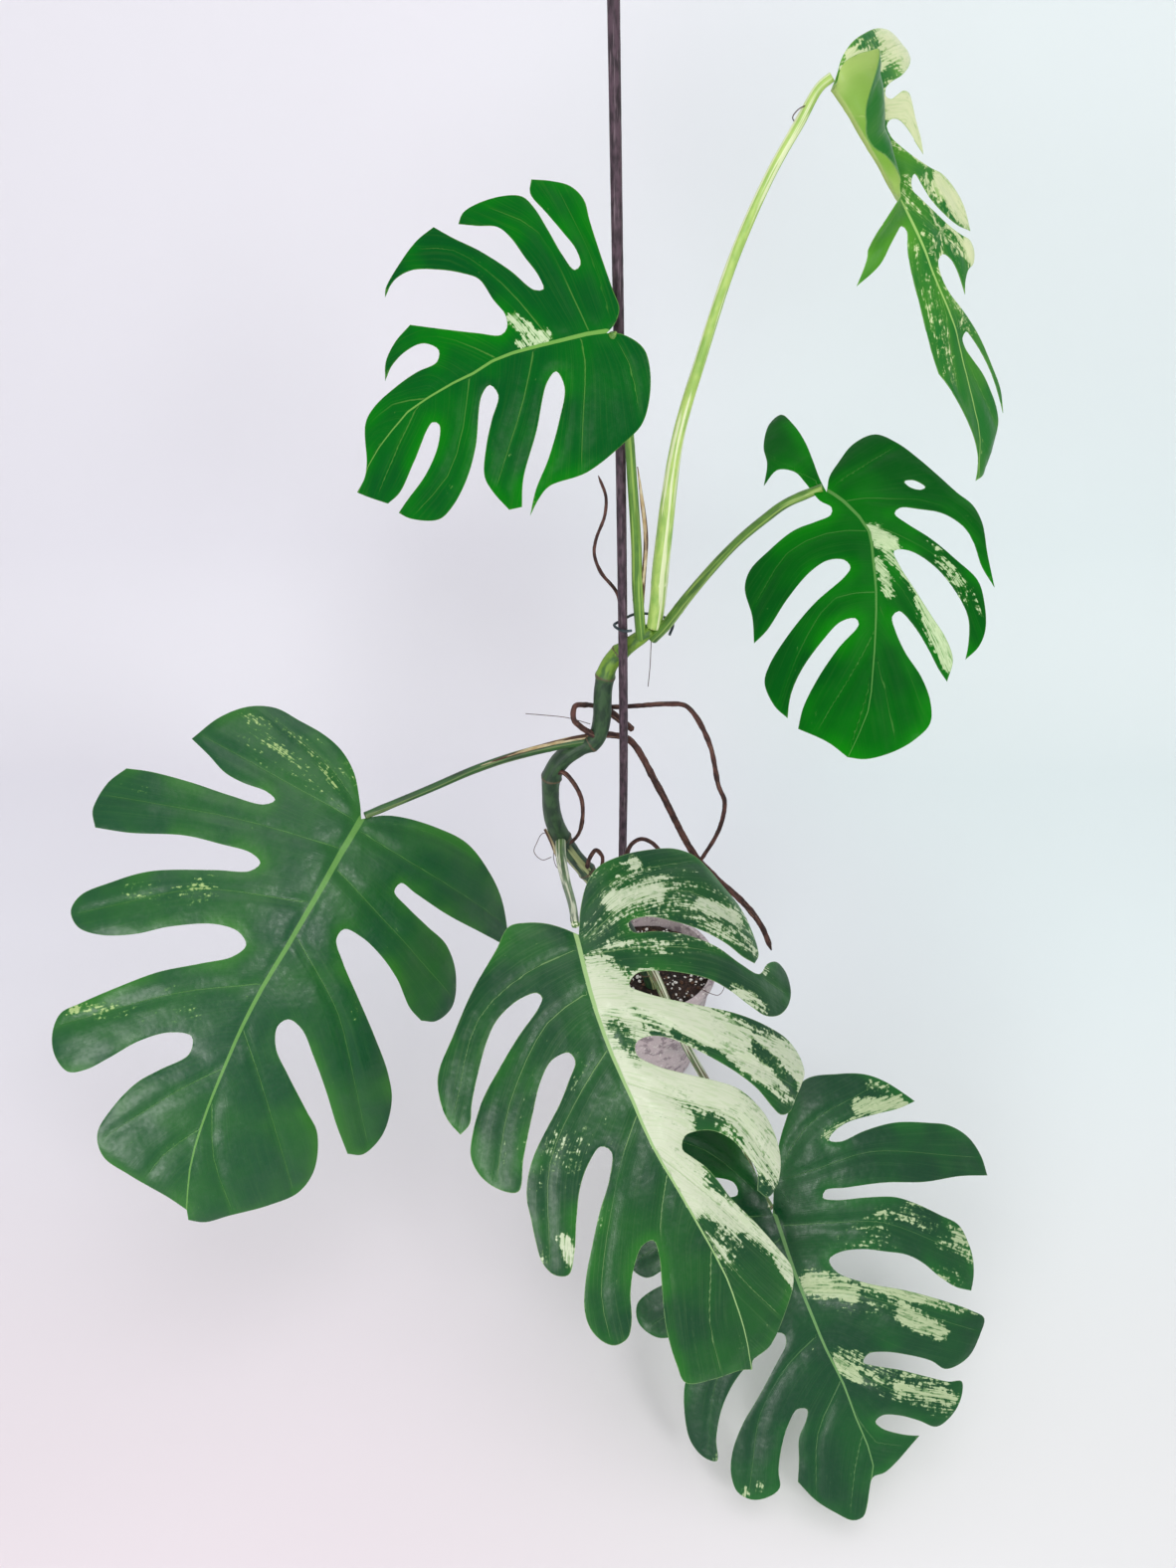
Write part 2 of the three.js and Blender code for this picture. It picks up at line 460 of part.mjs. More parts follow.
const lowerRightLeaf = {
  junction: [86, -324, 211],
  heading: -69.5, pitch: 38.8, roll: 15, twist: 0, fold: [0, 0], arch: 10, droop: [25, 25],
  length: 262, half: 150, spacing: 12,
  edge: [
    [0, 5, 1], [6, -38], [20, -74], [46, -98], [80, -103], [106, -84], [110, -62], [85, -47],
    [50, -40], [24, -28], [24, -18], [60, -24], [100, -16], [126, 0], [133, 18], [121, 31],
    [90, 22], [50, 14], [28, 16], [26, 25], [50, 30], [85, 36], [118, 42], [136, 52],
    [139, 68], [125, 82], [95, 80], [60, 66], [34, 58], [27, 66], [40, 78], [70, 92],
    [96, 104], [112, 122], [121, 151], [122, 172], [115, 186], [104, 191], [99, 172],
    [87, 148], [70, 128], [50, 113], [28, 97], [19, 100], [20, 108], [32, 121], [53, 143],
    [73, 163], [88, 184], [95, 203], [94, 219], [84, 227], [70, 227], [58, 221], [55, 207],
    [47, 188], [37, 172], [26, 161], [18, 163], [21, 171], [31, 184], [36, 201], [42, 219, 1],
    [32, 237], [19, 251], [7, 261], [-2, 261], [-8, 253], [-13, 242], [-19, 232], [-30, 231],
    [-42, 226], [-57, 218], [-67, 213, 1], [-58, 209], [-49, 204], [-38, 196], [-34, 189],
    [-41, 186], [-55, 191], [-70, 201], [-84, 212], [-102, 208], [-114, 198], [-118, 187],
    [-106, 182], [-86, 169], [-66, 156], [-47, 146], [-38, 140], [-44, 135], [-58, 138],
    [-78, 148], [-96, 160], [-106, 171], [-120, 173], [-134, 170], [-149, 159], [-158, 149],
    [-147, 137], [-125, 120], [-92, 98], [-59, 80], [-38, 64], [-35, 53], [-46, 50],
    [-66, 54], [-84, 62], [-102, 71], [-114, 82], [-127, 100], [-139, 113], [-153, 122, 1],
    [-160, 112], [-165, 98], [-165, 83], [-161, 67], [-144, 51], [-124, 34], [-107, 23],
    [-81, 15], [-55, 9], [-45, 4], [-49, -1], [-66, 2], [-102, 9], [-140, 21], [-178, 29],
    [-211, 40, 1], [-211, 22], [-203, 2], [-185, -15], [-164, -24], [-129, -35], [-99, -37],
    [-74, -35], [-65, -39], [-71, -44], [-85, -48], [-113, -47], [-138, -45], [-156, -46, 1],
    [-148, -55], [-132, -71], [-115, -82], [-91, -89], [-59, -92], [-33, -64], [-15, -35],
  ],
};

// Petioles run from the stem to just behind the blade. Each route is a list of points
// and each thickness a list of radii from the sheath at the stem to the leaf.
const petioles = {
  petiole_upper_right: [[[-11, 12, 572], [-9, 13, 596], [-7, 15, 638], [1, 14, 740],
    [15, 12, 804], [33, 9, 874], [52, 6, 926], [68, 3, 959], [78, 1, 979], [83.5, 0, 984]],
  [6.4, 6.2, 5, 4.6, 4.2, 4, 3.8, 3.4, 3]],
  petiole_upper_left: [[[-22, 12, 568], [-27, 4, 616], [-29, 1, 656], [-34, -4, 716],
    [-38, -10, 760], [-44, -20, 802], [-50, -27, 832]], [4.6, 4.6, 4.2, 3.8, 3.4, 3]],
  petiole_middle_right: [[[-9, 12, 566], [-2, 8, 575], [14, -4, 610], [32, -18, 647],
    [49, -28, 676], [66, -38, 700], [80, -44, 716], [100, -48.5, 727]],
  [5, 4.6, 4, 3.4, 3.6, 3.2]],
  petiole_lower_left: [[[-64, 8, 451], [-91, 2, 451], [-133, -12, 449], [-168, -31, 449],
    [-210, -58, 447], [-257, -87, 443]], [4.6, 4.4, 3.8, 3.6, 3.4, 3.2]],
  petiole_front: [[[-95, -3, 338], [-94, -30, 341], [-88, -100, 376], [-81, -165, 412],
    [-78, -211, 437]], [5.2, 5, 4.4, 3.8, 3.4, 3.2]],
  petiole_lower_right: [[[-3, -26, 176], [4, -50, 181], [27, -120, 173], [44, -180, 188],
    [68, -255, 199], [78, -300, 205], [84, -318, 206]], [5, 4.6, 4.2, 4, 3.6, 3.3]],
};

// Aerial roots, brown and woody, most of them hanging free below a node of the stem
const roots = {
  root_thick: [[[-57, 9, 456], [-46, 12, 454], [-29, 14, 446], [-2, 0, 402], [35, -18, 331],
    [60, -28, 304], [83, -36, 285], [105, -42, 255], [118, -46, 223]],
  [3, 3.2, 3.2, 3.2, 3, 2.6]],
  root_kinked: [[[-60, 6, 456], [-75, 0, 473], [-81, -4, 485], [-80, 0, 495], [-71, 14, 487],
    [-60, 26, 477], [-45, 27, 475], [-23, 22, 480], [4, 14, 488], [21, 6, 491], [42, -4, 459],
    [54, -10, 411], [61, -12, 392], [57, -16, 359], [43, -24, 332], [31, -34, 317]],
  [3, 2.4, 2.2, 2.2, 2.2, 2.2, 2.2, 2, 1.8]],
  root_loop: [[[-102, 4, 411], [-92, -2, 421], [-84, -9, 418], [-75, -12, 400],
    [-73, -12, 376], [-77, -12, 352], [-86, -12, 338]], [2.4, 2.2, 2, 1.8, 1.6]],
  root_hook: [[[-70, -9, 298], [-66, -14, 322], [-60, -16, 334], [-54, -16, 325],
    [-55, -16, 308]], [2.2, 2.1, 2, 1.7]],
  root_arch: [[[-33, -24, 250], [-32, -24, 316], [-30, -25, 340], [-25, -26, 353],
    [-17, -27, 359], [-7, -27, 354], [2, -26, 340], [11, -24, 307]], [2.4, 2.2, 2, 1.8]],
  root_rising: [[[-34, 16, 552], [-39, 16, 579], [-43, 14, 603], [-58, 2, 632], [-63, 0, 650],
    [-61, 0, 664], [-55, 0, 682], [-54, 0, 699], [-60, 0, 717]], [2, 1.6, 1.4, 1.3, 1.2]],
  root_stub: [[[-51, 14, 482], [-40, 16, 470], [-26, 14, 458]], [3.2, 3.4, 2.8]],
};

// Tie: soft wire hooked round the stake and behind the top of the stem
const tiePath = [
  [-31, -7, 580], [-38.7, -7.4, 580], [-45.8, 0, 581], [-39, 7.6, 581], [-28, 19, 580],
  [-16, 23, 578], [-4, 22, 576], [5, 15, 573], [2, 5, 568],
];

const plant = new THREE.Group();
const guards = [
  guard(stemPath, stemRadii.map((r) => r * stemRadius), 12, 40),
  guard(stakePath, [stakeRadius, stakeRadius], 12, 24),
];

function place(name, geometry, material) {
  const mesh = new THREE.Mesh(geometry, material);
  mesh.name = name;
  plant.add(mesh);
}

// A tube cut clear of everything placed before it
function placeTube(name, path, radii, sides, steps, material) {
  const whole = toSolid(tube(path, radii, sides, steps));
  const clear = guards.reduce((left, solid) => left.subtract(solid), whole);
  place(name, toGeometry(mainBody(clear)), material);
  guards.push(guard(path, radii, sides, steps));
}

const blades = {
  leaf_lower_left: lowerLeftLeaf,
  leaf_upper_left: upperLeftLeaf,
  leaf_upper_right: upperRightLeaf,
  leaf_middle_right: middleRightLeaf,
  leaf_front: frontLeaf,
  leaf_lower_right: lowerRightLeaf,
};

place('pot', potGeometry(), finishes.pot);
place('soil', soilGeometry(guards), finishes.soil);
place('stake', tube(stakePath, [stakeRadius, stakeRadius], 10, 24), finishes.stake);
place('stem', tube(stemPath, stemRadii.map((r) => r * stemRadius), 12, 40), finishes.stem);
for (const [name, leaf] of Object.entries(blades)) {
  place(name, bladeGeometry(leaf, bladeThickness), finishes.blade);
  guards.push(toSolid(bladeGeometry(leaf, bladeThickness + 2 * gap)));
}
for (const [name, [path, radii]] of Object.entries(petioles)) {
  placeTube(name, path, radii, 8, 22, finishes.petiole);
}
for (const [name, [path, radii]] of Object.entries(roots)) {
  placeTube(name, path, radii, 6, 26, finishes.root);
}
placeTube('tie', tiePath, [1.2, 1.2], 6, 22, finishes.tie);

export default plant;
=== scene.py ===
"""A potted variegated monstera: six split leaves on long stalks, a winding stem tied to
a stake, brown aerial roots, and a small mottled pot filled with dark soil.

Routes and outlines are in millimetres, as in the plan of the plant. Meshes are in metres.
"""
import random
from math import atan2, cos, exp, hypot, pi, radians, sin

import bmesh
import bpy
from mathutils import Color, Matrix, Vector, noise
from mathutils.kdtree import KDTree


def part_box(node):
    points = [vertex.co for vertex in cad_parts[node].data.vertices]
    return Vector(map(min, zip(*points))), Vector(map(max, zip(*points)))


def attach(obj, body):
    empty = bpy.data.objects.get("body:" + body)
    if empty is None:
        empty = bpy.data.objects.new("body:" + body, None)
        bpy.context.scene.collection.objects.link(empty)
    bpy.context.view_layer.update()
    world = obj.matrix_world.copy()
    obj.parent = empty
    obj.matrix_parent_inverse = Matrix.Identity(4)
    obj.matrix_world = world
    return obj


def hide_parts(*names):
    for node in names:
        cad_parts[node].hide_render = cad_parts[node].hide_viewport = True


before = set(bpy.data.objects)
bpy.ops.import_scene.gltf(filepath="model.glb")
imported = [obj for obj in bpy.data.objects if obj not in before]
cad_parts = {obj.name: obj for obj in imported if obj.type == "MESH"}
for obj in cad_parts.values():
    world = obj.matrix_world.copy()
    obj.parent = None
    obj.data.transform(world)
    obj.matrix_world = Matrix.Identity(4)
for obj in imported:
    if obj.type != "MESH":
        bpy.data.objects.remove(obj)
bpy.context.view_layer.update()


# Camera. It stands a little above the highest leaf and looks down 40 degrees on the plant,
# so the leaves show their upper sides and the pot is a small patch between them.
CAMERA_PLACE = (-0.068, -0.850, 1.123)
CAMERA_TILT = 49.8
LENS = 27.05
camera_data = bpy.data.cameras.new("camera")
camera_data.lens = LENS
camera_data.sensor_width = 36
camera = bpy.data.objects.new("camera", camera_data)
camera.location = CAMERA_PLACE
camera.rotation_euler = (radians(CAMERA_TILT), 0, 0)
bpy.context.scene.collection.objects.link(camera)
bpy.context.scene.camera = camera


# Backdrop and light. A white sheet lies on the floor and curves up behind the plant, a touch
# lavender on the left, mint on the right and pinker and darker in front. The mint comes in soft
# clouds and is partly painted shade, for the faint green-grey shadows of the leaves. Three soft
# lights stand over it.
WALL = 0.75
SWEEP_BEND = 0.25
SHEET_HALF_WIDTH = 2.6
SHEET_FRONT = -2.6
SHEET_TOP = 2.9
LIGHTS = {
    "key_light": {"place": (-0.65, -1.75, 0.85), "aim": (0.0, 0.0, 0.65), "size": 0.9, "power": 13},
    "side_light": {"place": (0.75, -1.5, 1.5), "aim": (-0.1, -0.1, 0.5), "size": 0.5, "power": 7},
    "top_light": {"place": (0.2, -0.5, 2.6), "aim": (0.0, -0.1, 0.4), "size": 1.8, "power": 11},
}
SKY = (1.0, 0.985, 0.99, 1.0)
SKY_STRENGTH = 0.62


def tint(red, green, blue):
    """A colour as a screen shows it, 0 to 255, in the shader's linear values."""
    linear = Color((red / 255, green / 255, blue / 255)).from_srgb_to_scene_linear()
    return (*linear, 1.0)


def put(tree, kind, inputs=None, **settings):
    """Adds a shader node and feeds its inputs with values or with other nodes' sockets."""
    node = tree.nodes.new(kind)
    for name, value in settings.items():
        setattr(node, name, value)
    for key, value in (inputs or {}).items():
        if isinstance(value, bpy.types.NodeSocket):
            tree.links.new(value, node.inputs[key])
        else:
            node.inputs[key].default_value = value
    return node


def mixed(tree, factor, first, second):
    """One colour laid over another where the factor is 1."""
    return put(tree, "ShaderNodeMix", {0: factor, 6: first, 7: second}, data_type="RGBA").outputs[2]


def eased(tree, value, low, high):
    """0 at low and 1 at high, smooth between; low may be the larger."""
    inputs = {"Value": value, "From Min": low, "From Max": high}
    return put(tree, "ShaderNodeMapRange", inputs, interpolation_type="SMOOTHSTEP").outputs[0]


def maths(tree, operation, first, second=0.0):
    return put(tree, "ShaderNodeMath", {0: first, 1: second}, operation=operation).outputs[0]


def times(tree, first, second):
    return maths(tree, "MULTIPLY", first, second)


def speckle(tree, where, scale, detail=3.0):
    inputs = {"Vector": where, "Scale": scale, "Detail": detail}
    return put(tree, "ShaderNodeTexNoise", inputs).outputs[0]


def stretched(tree, where, across, along):
    """The same coordinates with their own scale across and along the piece."""
    return put(tree, "ShaderNodeMapping", {"Vector": where, "Scale": (across, across, along)}).outputs[0]


def object_place(tree):
    return put(tree, "ShaderNodeTexCoord").outputs["Object"]


def finish(name, build, roughness=0.6, relief=0.0, **constants):
    """A material. build(tree) gives the sockets of its colour, roughness and height."""
    material = bpy.data.materials.new(name)
    material.use_nodes = True
    tree = material.node_tree
    shader = tree.nodes["Principled BSDF"]
    shader.inputs["Roughness"].default_value = roughness
    for socket, value in constants.items():
        shader.inputs[socket.replace("_", " ")].default_value = value
    made = build(tree)
    tree.links.new(made["colour"], shader.inputs["Base Color"])
    if "roughness" in made:
        tree.links.new(made["roughness"], shader.inputs["Roughness"])
    if "height" in made:
        bump = put(tree, "ShaderNodeBump", {"Height": made["height"], "Distance": relief})
        tree.links.new(bump.outputs[0], shader.inputs["Normal"])
    return material


def sheet_look(tree):
    here = object_place(tree)
    parts = put(tree, "ShaderNodeSeparateXYZ", {0: here}).outputs
    cloud = speckle(tree, here, 0.9, 1.0)
    # The mint drift is partly the sheet's own tint and partly painted shade: soft green-grey clouds for the
    # leaves' faint shadows.
    tint_and_shade_drift = eased(tree, maths(tree, "ADD", parts["X"], times(tree, cloud, 0.7)), 0.1, 0.85)
    far = mixed(tree, tint_and_shade_drift, tint(237, 236, 243), tint(234, 243, 244))
    near = mixed(tree, tint_and_shade_drift, tint(226, 217, 223), tint(228, 228, 229))
    return {"colour": mixed(tree, eased(tree, parts["Y"], 0.2, -0.55), far, near)}


def object_from(name, bm, *materials):
    """Turns a modelling mesh into an object with its materials, smooth all over."""
    mesh = bpy.data.meshes.new(name)
    bm.to_mesh(mesh)
    bm.free()
    for material in materials:
        mesh.materials.append(material)
    mesh.polygons.foreach_set("use_smooth", [True] * len(mesh.polygons))
    made = bpy.data.objects.new(name, mesh)
    bpy.context.scene.collection.objects.link(made)
    return made


def sweep_mesh():
    bm = bmesh.new()
    centre = Vector((0, WALL - SWEEP_BEND, SWEEP_BEND))
    turns = [radians(degrees) for degrees in range(0, 91, 5)]
    bend = [centre + Vector((0, sin(turn), -cos(turn))) * SWEEP_BEND for turn in turns]
    profile = [Vector((0, SHEET_FRONT, 0)), *bend, Vector((0, WALL, SHEET_TOP))]
    verts = [bm.verts.new(p - Vector((SHEET_HALF_WIDTH, 0, 0))) for p in profile]
    edges = [bm.edges.new(pair) for pair in zip(verts, verts[1:])]
    made = bmesh.ops.extrude_edge_only(bm, edges=edges)["geom"]
    moved = [item for item in made if isinstance(item, bmesh.types.BMVert)]
    bmesh.ops.translate(bm, verts=moved, vec=(2 * SHEET_HALF_WIDTH, 0, 0))
    bmesh.ops.recalc_face_normals(bm, faces=bm.faces)
    bm.faces.ensure_lookup_table()
    if bm.faces[0].normal.z < 0:
        bmesh.ops.reverse_faces(bm, faces=bm.faces)
    return bm


def clear_from_behind(material):
    """Lets the plant be seen from the far side of the sheet as well."""
    tree = material.node_tree
    behind = put(tree, "ShaderNodeNewGeometry").outputs["Backfacing"]
    clear = put(tree, "ShaderNodeBsdfTransparent").outputs[0]
    cloth = tree.nodes["Principled BSDF"].outputs[0]
    shown = put(tree, "ShaderNodeMixShader", {0: behind, 1: cloth, 2: clear}).outputs[0]
    tree.links.new(shown, tree.nodes["Material Output"].inputs["Surface"])
    return material


def soft_light(name, place, aim, size, power):
    data = bpy.data.lights.new(name, "AREA")
    data.shape = "DISK"
    data.size = size
    data.energy = power
    light = bpy.data.objects.new(name, data)
    light.location = place
    light.rotation_euler = (Vector(aim) - Vector(place)).to_track_quat("-Z", "Y").to_euler()
    bpy.context.scene.collection.objects.link(light)


white_sheet = clear_from_behind(finish("white_sheet", sheet_look, 0.9))
object_from("sheet", sweep_mesh(), white_sheet)
for light_name, light_values in LIGHTS.items():
    soft_light(light_name, **light_values)
world = bpy.data.worlds.new("studio")
world.use_nodes = True
sky = world.node_tree.nodes["Background"].inputs
sky["Color"].default_value = SKY
sky["Strength"].default_value = SKY_STRENGTH
bpy.context.scene.world = world
bpy.context.scene.view_settings.view_transform = "Standard"


# Pot. A thin tapered nursery pot of moulded plastic, mottled grey and pink, with a thicker
# lip and six drain holes in its floor. It stands flat on the sheet.
MM = 0.001
POT_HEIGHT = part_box("pot")[1].z
LIP_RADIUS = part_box("pot")[1].x
LIP_OVERHANG = 3 * MM
LIP_DEPTH = 12 * MM
POT_WALL = 2.4 * MM
POT_FLOOR = 4 * MM
BASE_RADIUS = 53.5 * MM
DRAIN_COUNT = 6
DRAIN_RADIUS = 4 * MM
DRAIN_RING = 34 * MM
POT_TURNS = 96


def pot_radius(height):
    """Outer radius of the tapered wall below the lip."""
    return BASE_RADIUS + (LIP_RADIUS - LIP_OVERHANG - BASE_RADIUS) * height / POT_HEIGHT


def pot_mesh():
    bm = bmesh.new()
    shoulder = POT_HEIGHT - LIP_DEPTH
    inner_top = LIP_RADIUS - LIP_OVERHANG - POT_WALL
    profile = [
        (BASE_RADIUS - 3 * MM, 0), (BASE_RADIUS - 1 * MM, 0.8 * MM), (BASE_RADIUS, 3 * MM),
        (pot_radius(shoulder / 2), shoulder / 2), (pot_radius(shoulder), shoulder),
        (LIP_RADIUS - 0.8 * MM, shoulder + 0.6 * MM), (LIP_RADIUS, shoulder + 2 * MM),
        (LIP_RADIUS, POT_HEIGHT - 1 * MM), (LIP_RADIUS - 0.8 * MM, POT_HEIGHT - 0.2 * MM),
        (LIP_RADIUS - 1.6 * MM, POT_HEIGHT), (inner_top, POT_HEIGHT),
        (pot_radius(POT_FLOOR) - POT_WALL - 1 * MM, POT_FLOOR),
    ]
    wall = [bm.verts.new((radius, 0, height)) for radius, height in profile]
    rails = [bm.edges.new(pair) for pair in zip(wall, wall[1:])]
    bmesh.ops.spin(bm, geom=wall + rails, cent=(0, 0, 0), axis=(0, 0, 1), angle=2 * pi,
                   steps=POT_TURNS, use_merge=True)
    turns = [2 * pi * (i + 0.5) / DRAIN_COUNT for i in range(DRAIN_COUNT)]
    drains = [Vector((DRAIN_RING * cos(turn), DRAIN_RING * sin(turn), 0)) for turn in turns]
    for height in (0, POT_FLOOR):
        rim = [edge for edge in bm.edges
               if edge.is_boundary and all(abs(vert.co.z - height) < 1e-5 for vert in edge.verts)]
        for drain in drains:
            spot = Matrix.Translation((drain.x, drain.y, height))
            hole = bmesh.ops.create_circle(bm, radius=DRAIN_RADIUS, segments=16, matrix=spot)["verts"]
            rim += {edge for vert in hole for edge in vert.link_edges}
        bmesh.ops.triangle_fill(bm, edges=rim, use_beauty=True, normal=(0, 0, 1))
    open_rims = [edge for edge in bm.edges if edge.is_boundary]
    for drain in drains:
        spot = Vector((drain.x, drain.y, POT_FLOOR / 2))
        pair = [edge for edge in open_rims if (edge.verts[0].co - spot).length < 2 * DRAIN_RADIUS]
        bmesh.ops.bridge_loops(bm, edges=pair)
    bmesh.ops.remove_doubles(bm, verts=bm.verts, dist=1e-6)
    bmesh.ops.recalc_face_normals(bm, faces=bm.faces)
    for edge in bm.edges:
        edge.smooth = edge.calc_face_angle(0) < radians(50)
    return bm


def pot_look(tree):
    here = object_place(tree)
    blotch = speckle(tree, here, 95, 4.0)
    cloud = speckle(tree, here, 22, 2.0)
    grey = mixed(tree, eased(tree, cloud, 0.35, 0.65), tint(176, 166, 168), tint(196, 180, 184))
    spots = mixed(tree, eased(tree, blotch, 0.50, 0.62), grey, tint(146, 132, 138))
    dust = speckle(tree, here, 420, 2.0)
    pale = mixed(tree, eased(tree, dust, 0.60, 0.68), spots, tint(222, 214, 212))
    return {"colour": pale, "roughness": eased(tree, blotch, -0.9, 1.0), "height": dust}


def carried(piece, slot, *nodes):
    """The piece rides on the plant and stands for CAD nodes, which it hides. The slot is not used."""
    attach(piece, "root")
    if nodes:
        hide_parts(*nodes)
    return piece


pot = object_from("nursery_pot", pot_mesh(), finish("mottled_plastic", pot_look, 0.7, 0.2 * MM))
carried(pot, "pot", "pot")


# Soil. A near-black peat mix, lumpy on top, with white perlite grains and bits of bark
# lying in it. It fills the pot to a little below the lip.
SOIL_TOP = 141 * MM
SOIL_DOME = 3 * MM
SOIL_RINGS = 34
SOIL_FOOT = POT_FLOOR + 0.35 * MM
PERLITE = {"count": 240, "smallest": 0.7 * MM, "largest": 2.3 * MM}
BARK = {"count": 90, "smallest": 1.6 * MM, "largest": 4.2 * MM}
soil_draw = random.Random(4)
# The grains' rough surface is drawn from this seed, and from the clock without it
noise.seed_set(4)


def soil_radius(height):
    return pot_radius(height) - POT_WALL - 1.35 * MM


def soil_height(x, y):
    """The lumpy surface: a low dome, broad lumps and fine crumbs."""
    dome = SOIL_DOME * (1 - (x * x + y * y) / soil_radius(SOIL_TOP) ** 2)
    lumps = noise.noise(Vector((x, y, 0)) * 55) * 2.6 * MM
    crumbs = noise.fractal(Vector((x, y, 0.3)) * 260, 0.8, 2.0, 3) * 1.3 * MM
    return SOIL_TOP + dome + lumps + crumbs


def soil_mesh():
    bm = bmesh.new()
    rim = soil_radius(SOIL_TOP)
    rail = [bm.verts.new((soil_radius(SOIL_FOOT) * k / 3, 0, SOIL_FOOT)) for k in range(4)]
    rail += [bm.verts.new((rim * k / SOIL_RINGS, 0, SOIL_TOP)) for k in range(SOIL_RINGS, -1, -1)]
    edges = [bm.edges.new(pair) for pair in zip(rail, rail[1:])]
    bmesh.ops.spin(bm, geom=rail + edges, axis=(0, 0, 1), cent=(0, 0, 0), angle=2 * pi, steps=110,
                   use_merge=True)
    bmesh.ops.remove_doubles(bm, verts=bm.verts, dist=1e-6)
    bmesh.ops.recalc_face_normals(bm, faces=bm.faces)
    for vert in bm.verts:
        if vert.co.z > SOIL_TOP - 1e-6:
            vert.co.z = soil_height(vert.co.x, vert.co.y)
    return bm


def scatter(bm, count, smallest, largest, flatness, detail):
    """Small angular bits pressed into the soil at seeded random places."""
    for _ in range(count):
        ring = (soil_radius(SOIL_TOP) - 2 * MM) * soil_draw.random() ** 0.5
        turn = soil_draw.uniform(0, 2 * pi)
        size = soil_draw.uniform(smallest, largest)
        x, y = ring * cos(turn), ring * sin(turn)
        spot = Matrix.Translation((x, y, soil_height(x, y) + 0.2 * size * flatness))
        spin = Matrix.Rotation(soil_draw.uniform(0, pi), 4, "Z")
        lean = Matrix.Rotation(soil_draw.uniform(-0.5, 0.5), 4, "X")
        squash = Matrix.Diagonal((size, size * soil_draw.uniform(0.45, 0.9), size * flatness, 1))
        bmesh.ops.create_icosphere(bm, subdivisions=detail, radius=1, matrix=spot @ (spin @ lean) @ squash)
    for vert in bm.verts:
        vert.co += noise.noise_vector(vert.co * 900) * 0.25 * MM
    return bm


def soil_look(tree):
    here = object_place(tree)
    crumb = speckle(tree, here, 330, 5.0)
    clod = speckle(tree, here, 60, 2.0)
    brown = mixed(tree, eased(tree, clod, 0.35, 0.7), tint(24, 16, 14), tint(50, 34, 28))
    return {"colour": mixed(tree, eased(tree, crumb, 0.52, 0.72), brown, tint(84, 62, 50)), "height": crumb}


def perlite_look(tree):
    pits = speckle(tree, object_place(tree), 900, 3.0)
    return {"colour": mixed(tree, eased(tree, pits, 0.3, 0.6), tint(196, 190, 182), tint(242, 240, 236)),
            "height": pits}


def bark_look(tree):
    grain = speckle(tree, stretched(tree, object_place(tree), 700, 160), 1.0, 3.0)
    return {"colour": mixed(tree, grain, tint(40, 24, 18), tint(112, 78, 56)), "height": grain}


soil = object_from("soil_mix", soil_mesh(), finish("peat", soil_look, 0.95, 1.2 * MM))
carried(soil, "soil", "soil")
perlite = object_from("perlite_grains", scatter(bmesh.new(), **PERLITE, flatness=0.8, detail=2),
                      finish("perlite", perlite_look, 0.9, 0.2 * MM))
carried(perlite, "soil")
bark = object_from("bark_bits", scatter(bmesh.new(), **BARK, flatness=0.3, detail=1),
                   finish("bark", bark_look, 0.9, 0.3 * MM))
carried(bark, "soil")


# Stake. One long rod of purple-brown, mottled and slightly nubby, with a fine raised seam down
# two sides where its mould closed. It is pushed down through the soil to the pot's floor.
STAKE_RADIUS = 4
STAKE_ROUTE = [(-32, 0, 6), (-33.8, 0, 332), (-35, 0, 436), (-42, 0, 699), (-50, 0, 944), (-58, 0, 1199)]


def smooth_run(points, step):
    """Points about a step apart on a centripetal spline through the given ones."""
    points = [Vector(p) for p in points]
    padded = [2 * points[0] - points[1], *points, 2 * points[-1] - points[-2]]
    run = []
    for before, start, end, after in zip(padded, padded[1:], padded[2:], padded[3:]):
        d0, d1, d2 = (max(1e-4, (b - a).length) ** 0.5
                      for a, b in ((before, start), (start, end), (end, after)))
        leave = ((start - before) / d0 - (end - before) / (d0 + d1) + (end - start) / d1) * d1
        arrive = ((end - start) / d1 - (after - start) / (d1 + d2) + (after - end) / d2) * d1
        parts = max(1, round((end - start).length / step))
        for k in range(parts):
            u = k / parts
            run.append(start * (2 * u**3 - 3 * u**2 + 1) + leave * (u**3 - 2 * u**2 + u)
                       + end * (3 * u**2 - 2 * u**3) + arrive * (u**3 - u**2))
    return [*run, points[-1]]


def running_lengths(centres):
    lengths = [0.0]
    for a, b in zip(centres, centres[1:]):
        lengths.append(lengths[-1] + (b - a).length)
    return lengths


def frames_along(centres):
    """Two directions square to a line of points at each of them, turning as little as they can."""
    ahead = [(centres[min(i + 1, len(centres) - 1)] - centres[max(i - 1, 0)]).normalized()
             for i in range(len(centres))]
    side = ahead[0].cross(Vector((0, -1, 0.3))).normalized()
    frames = []
    for direction in ahead:
        side = (side - direction * side.dot(direction)).normalized()
        frames.append((side, direction.cross(side)))
    return frames


def spread(values, place):
    """The value at a place from 0 to 1 along a list of evenly spread values."""
    at = min(max(place, 0), 1) * (len(values) - 1)
    low = min(int(at), len(values) - 2)
    return values[low] + (values[low + 1] - values[low]) * (at - low)


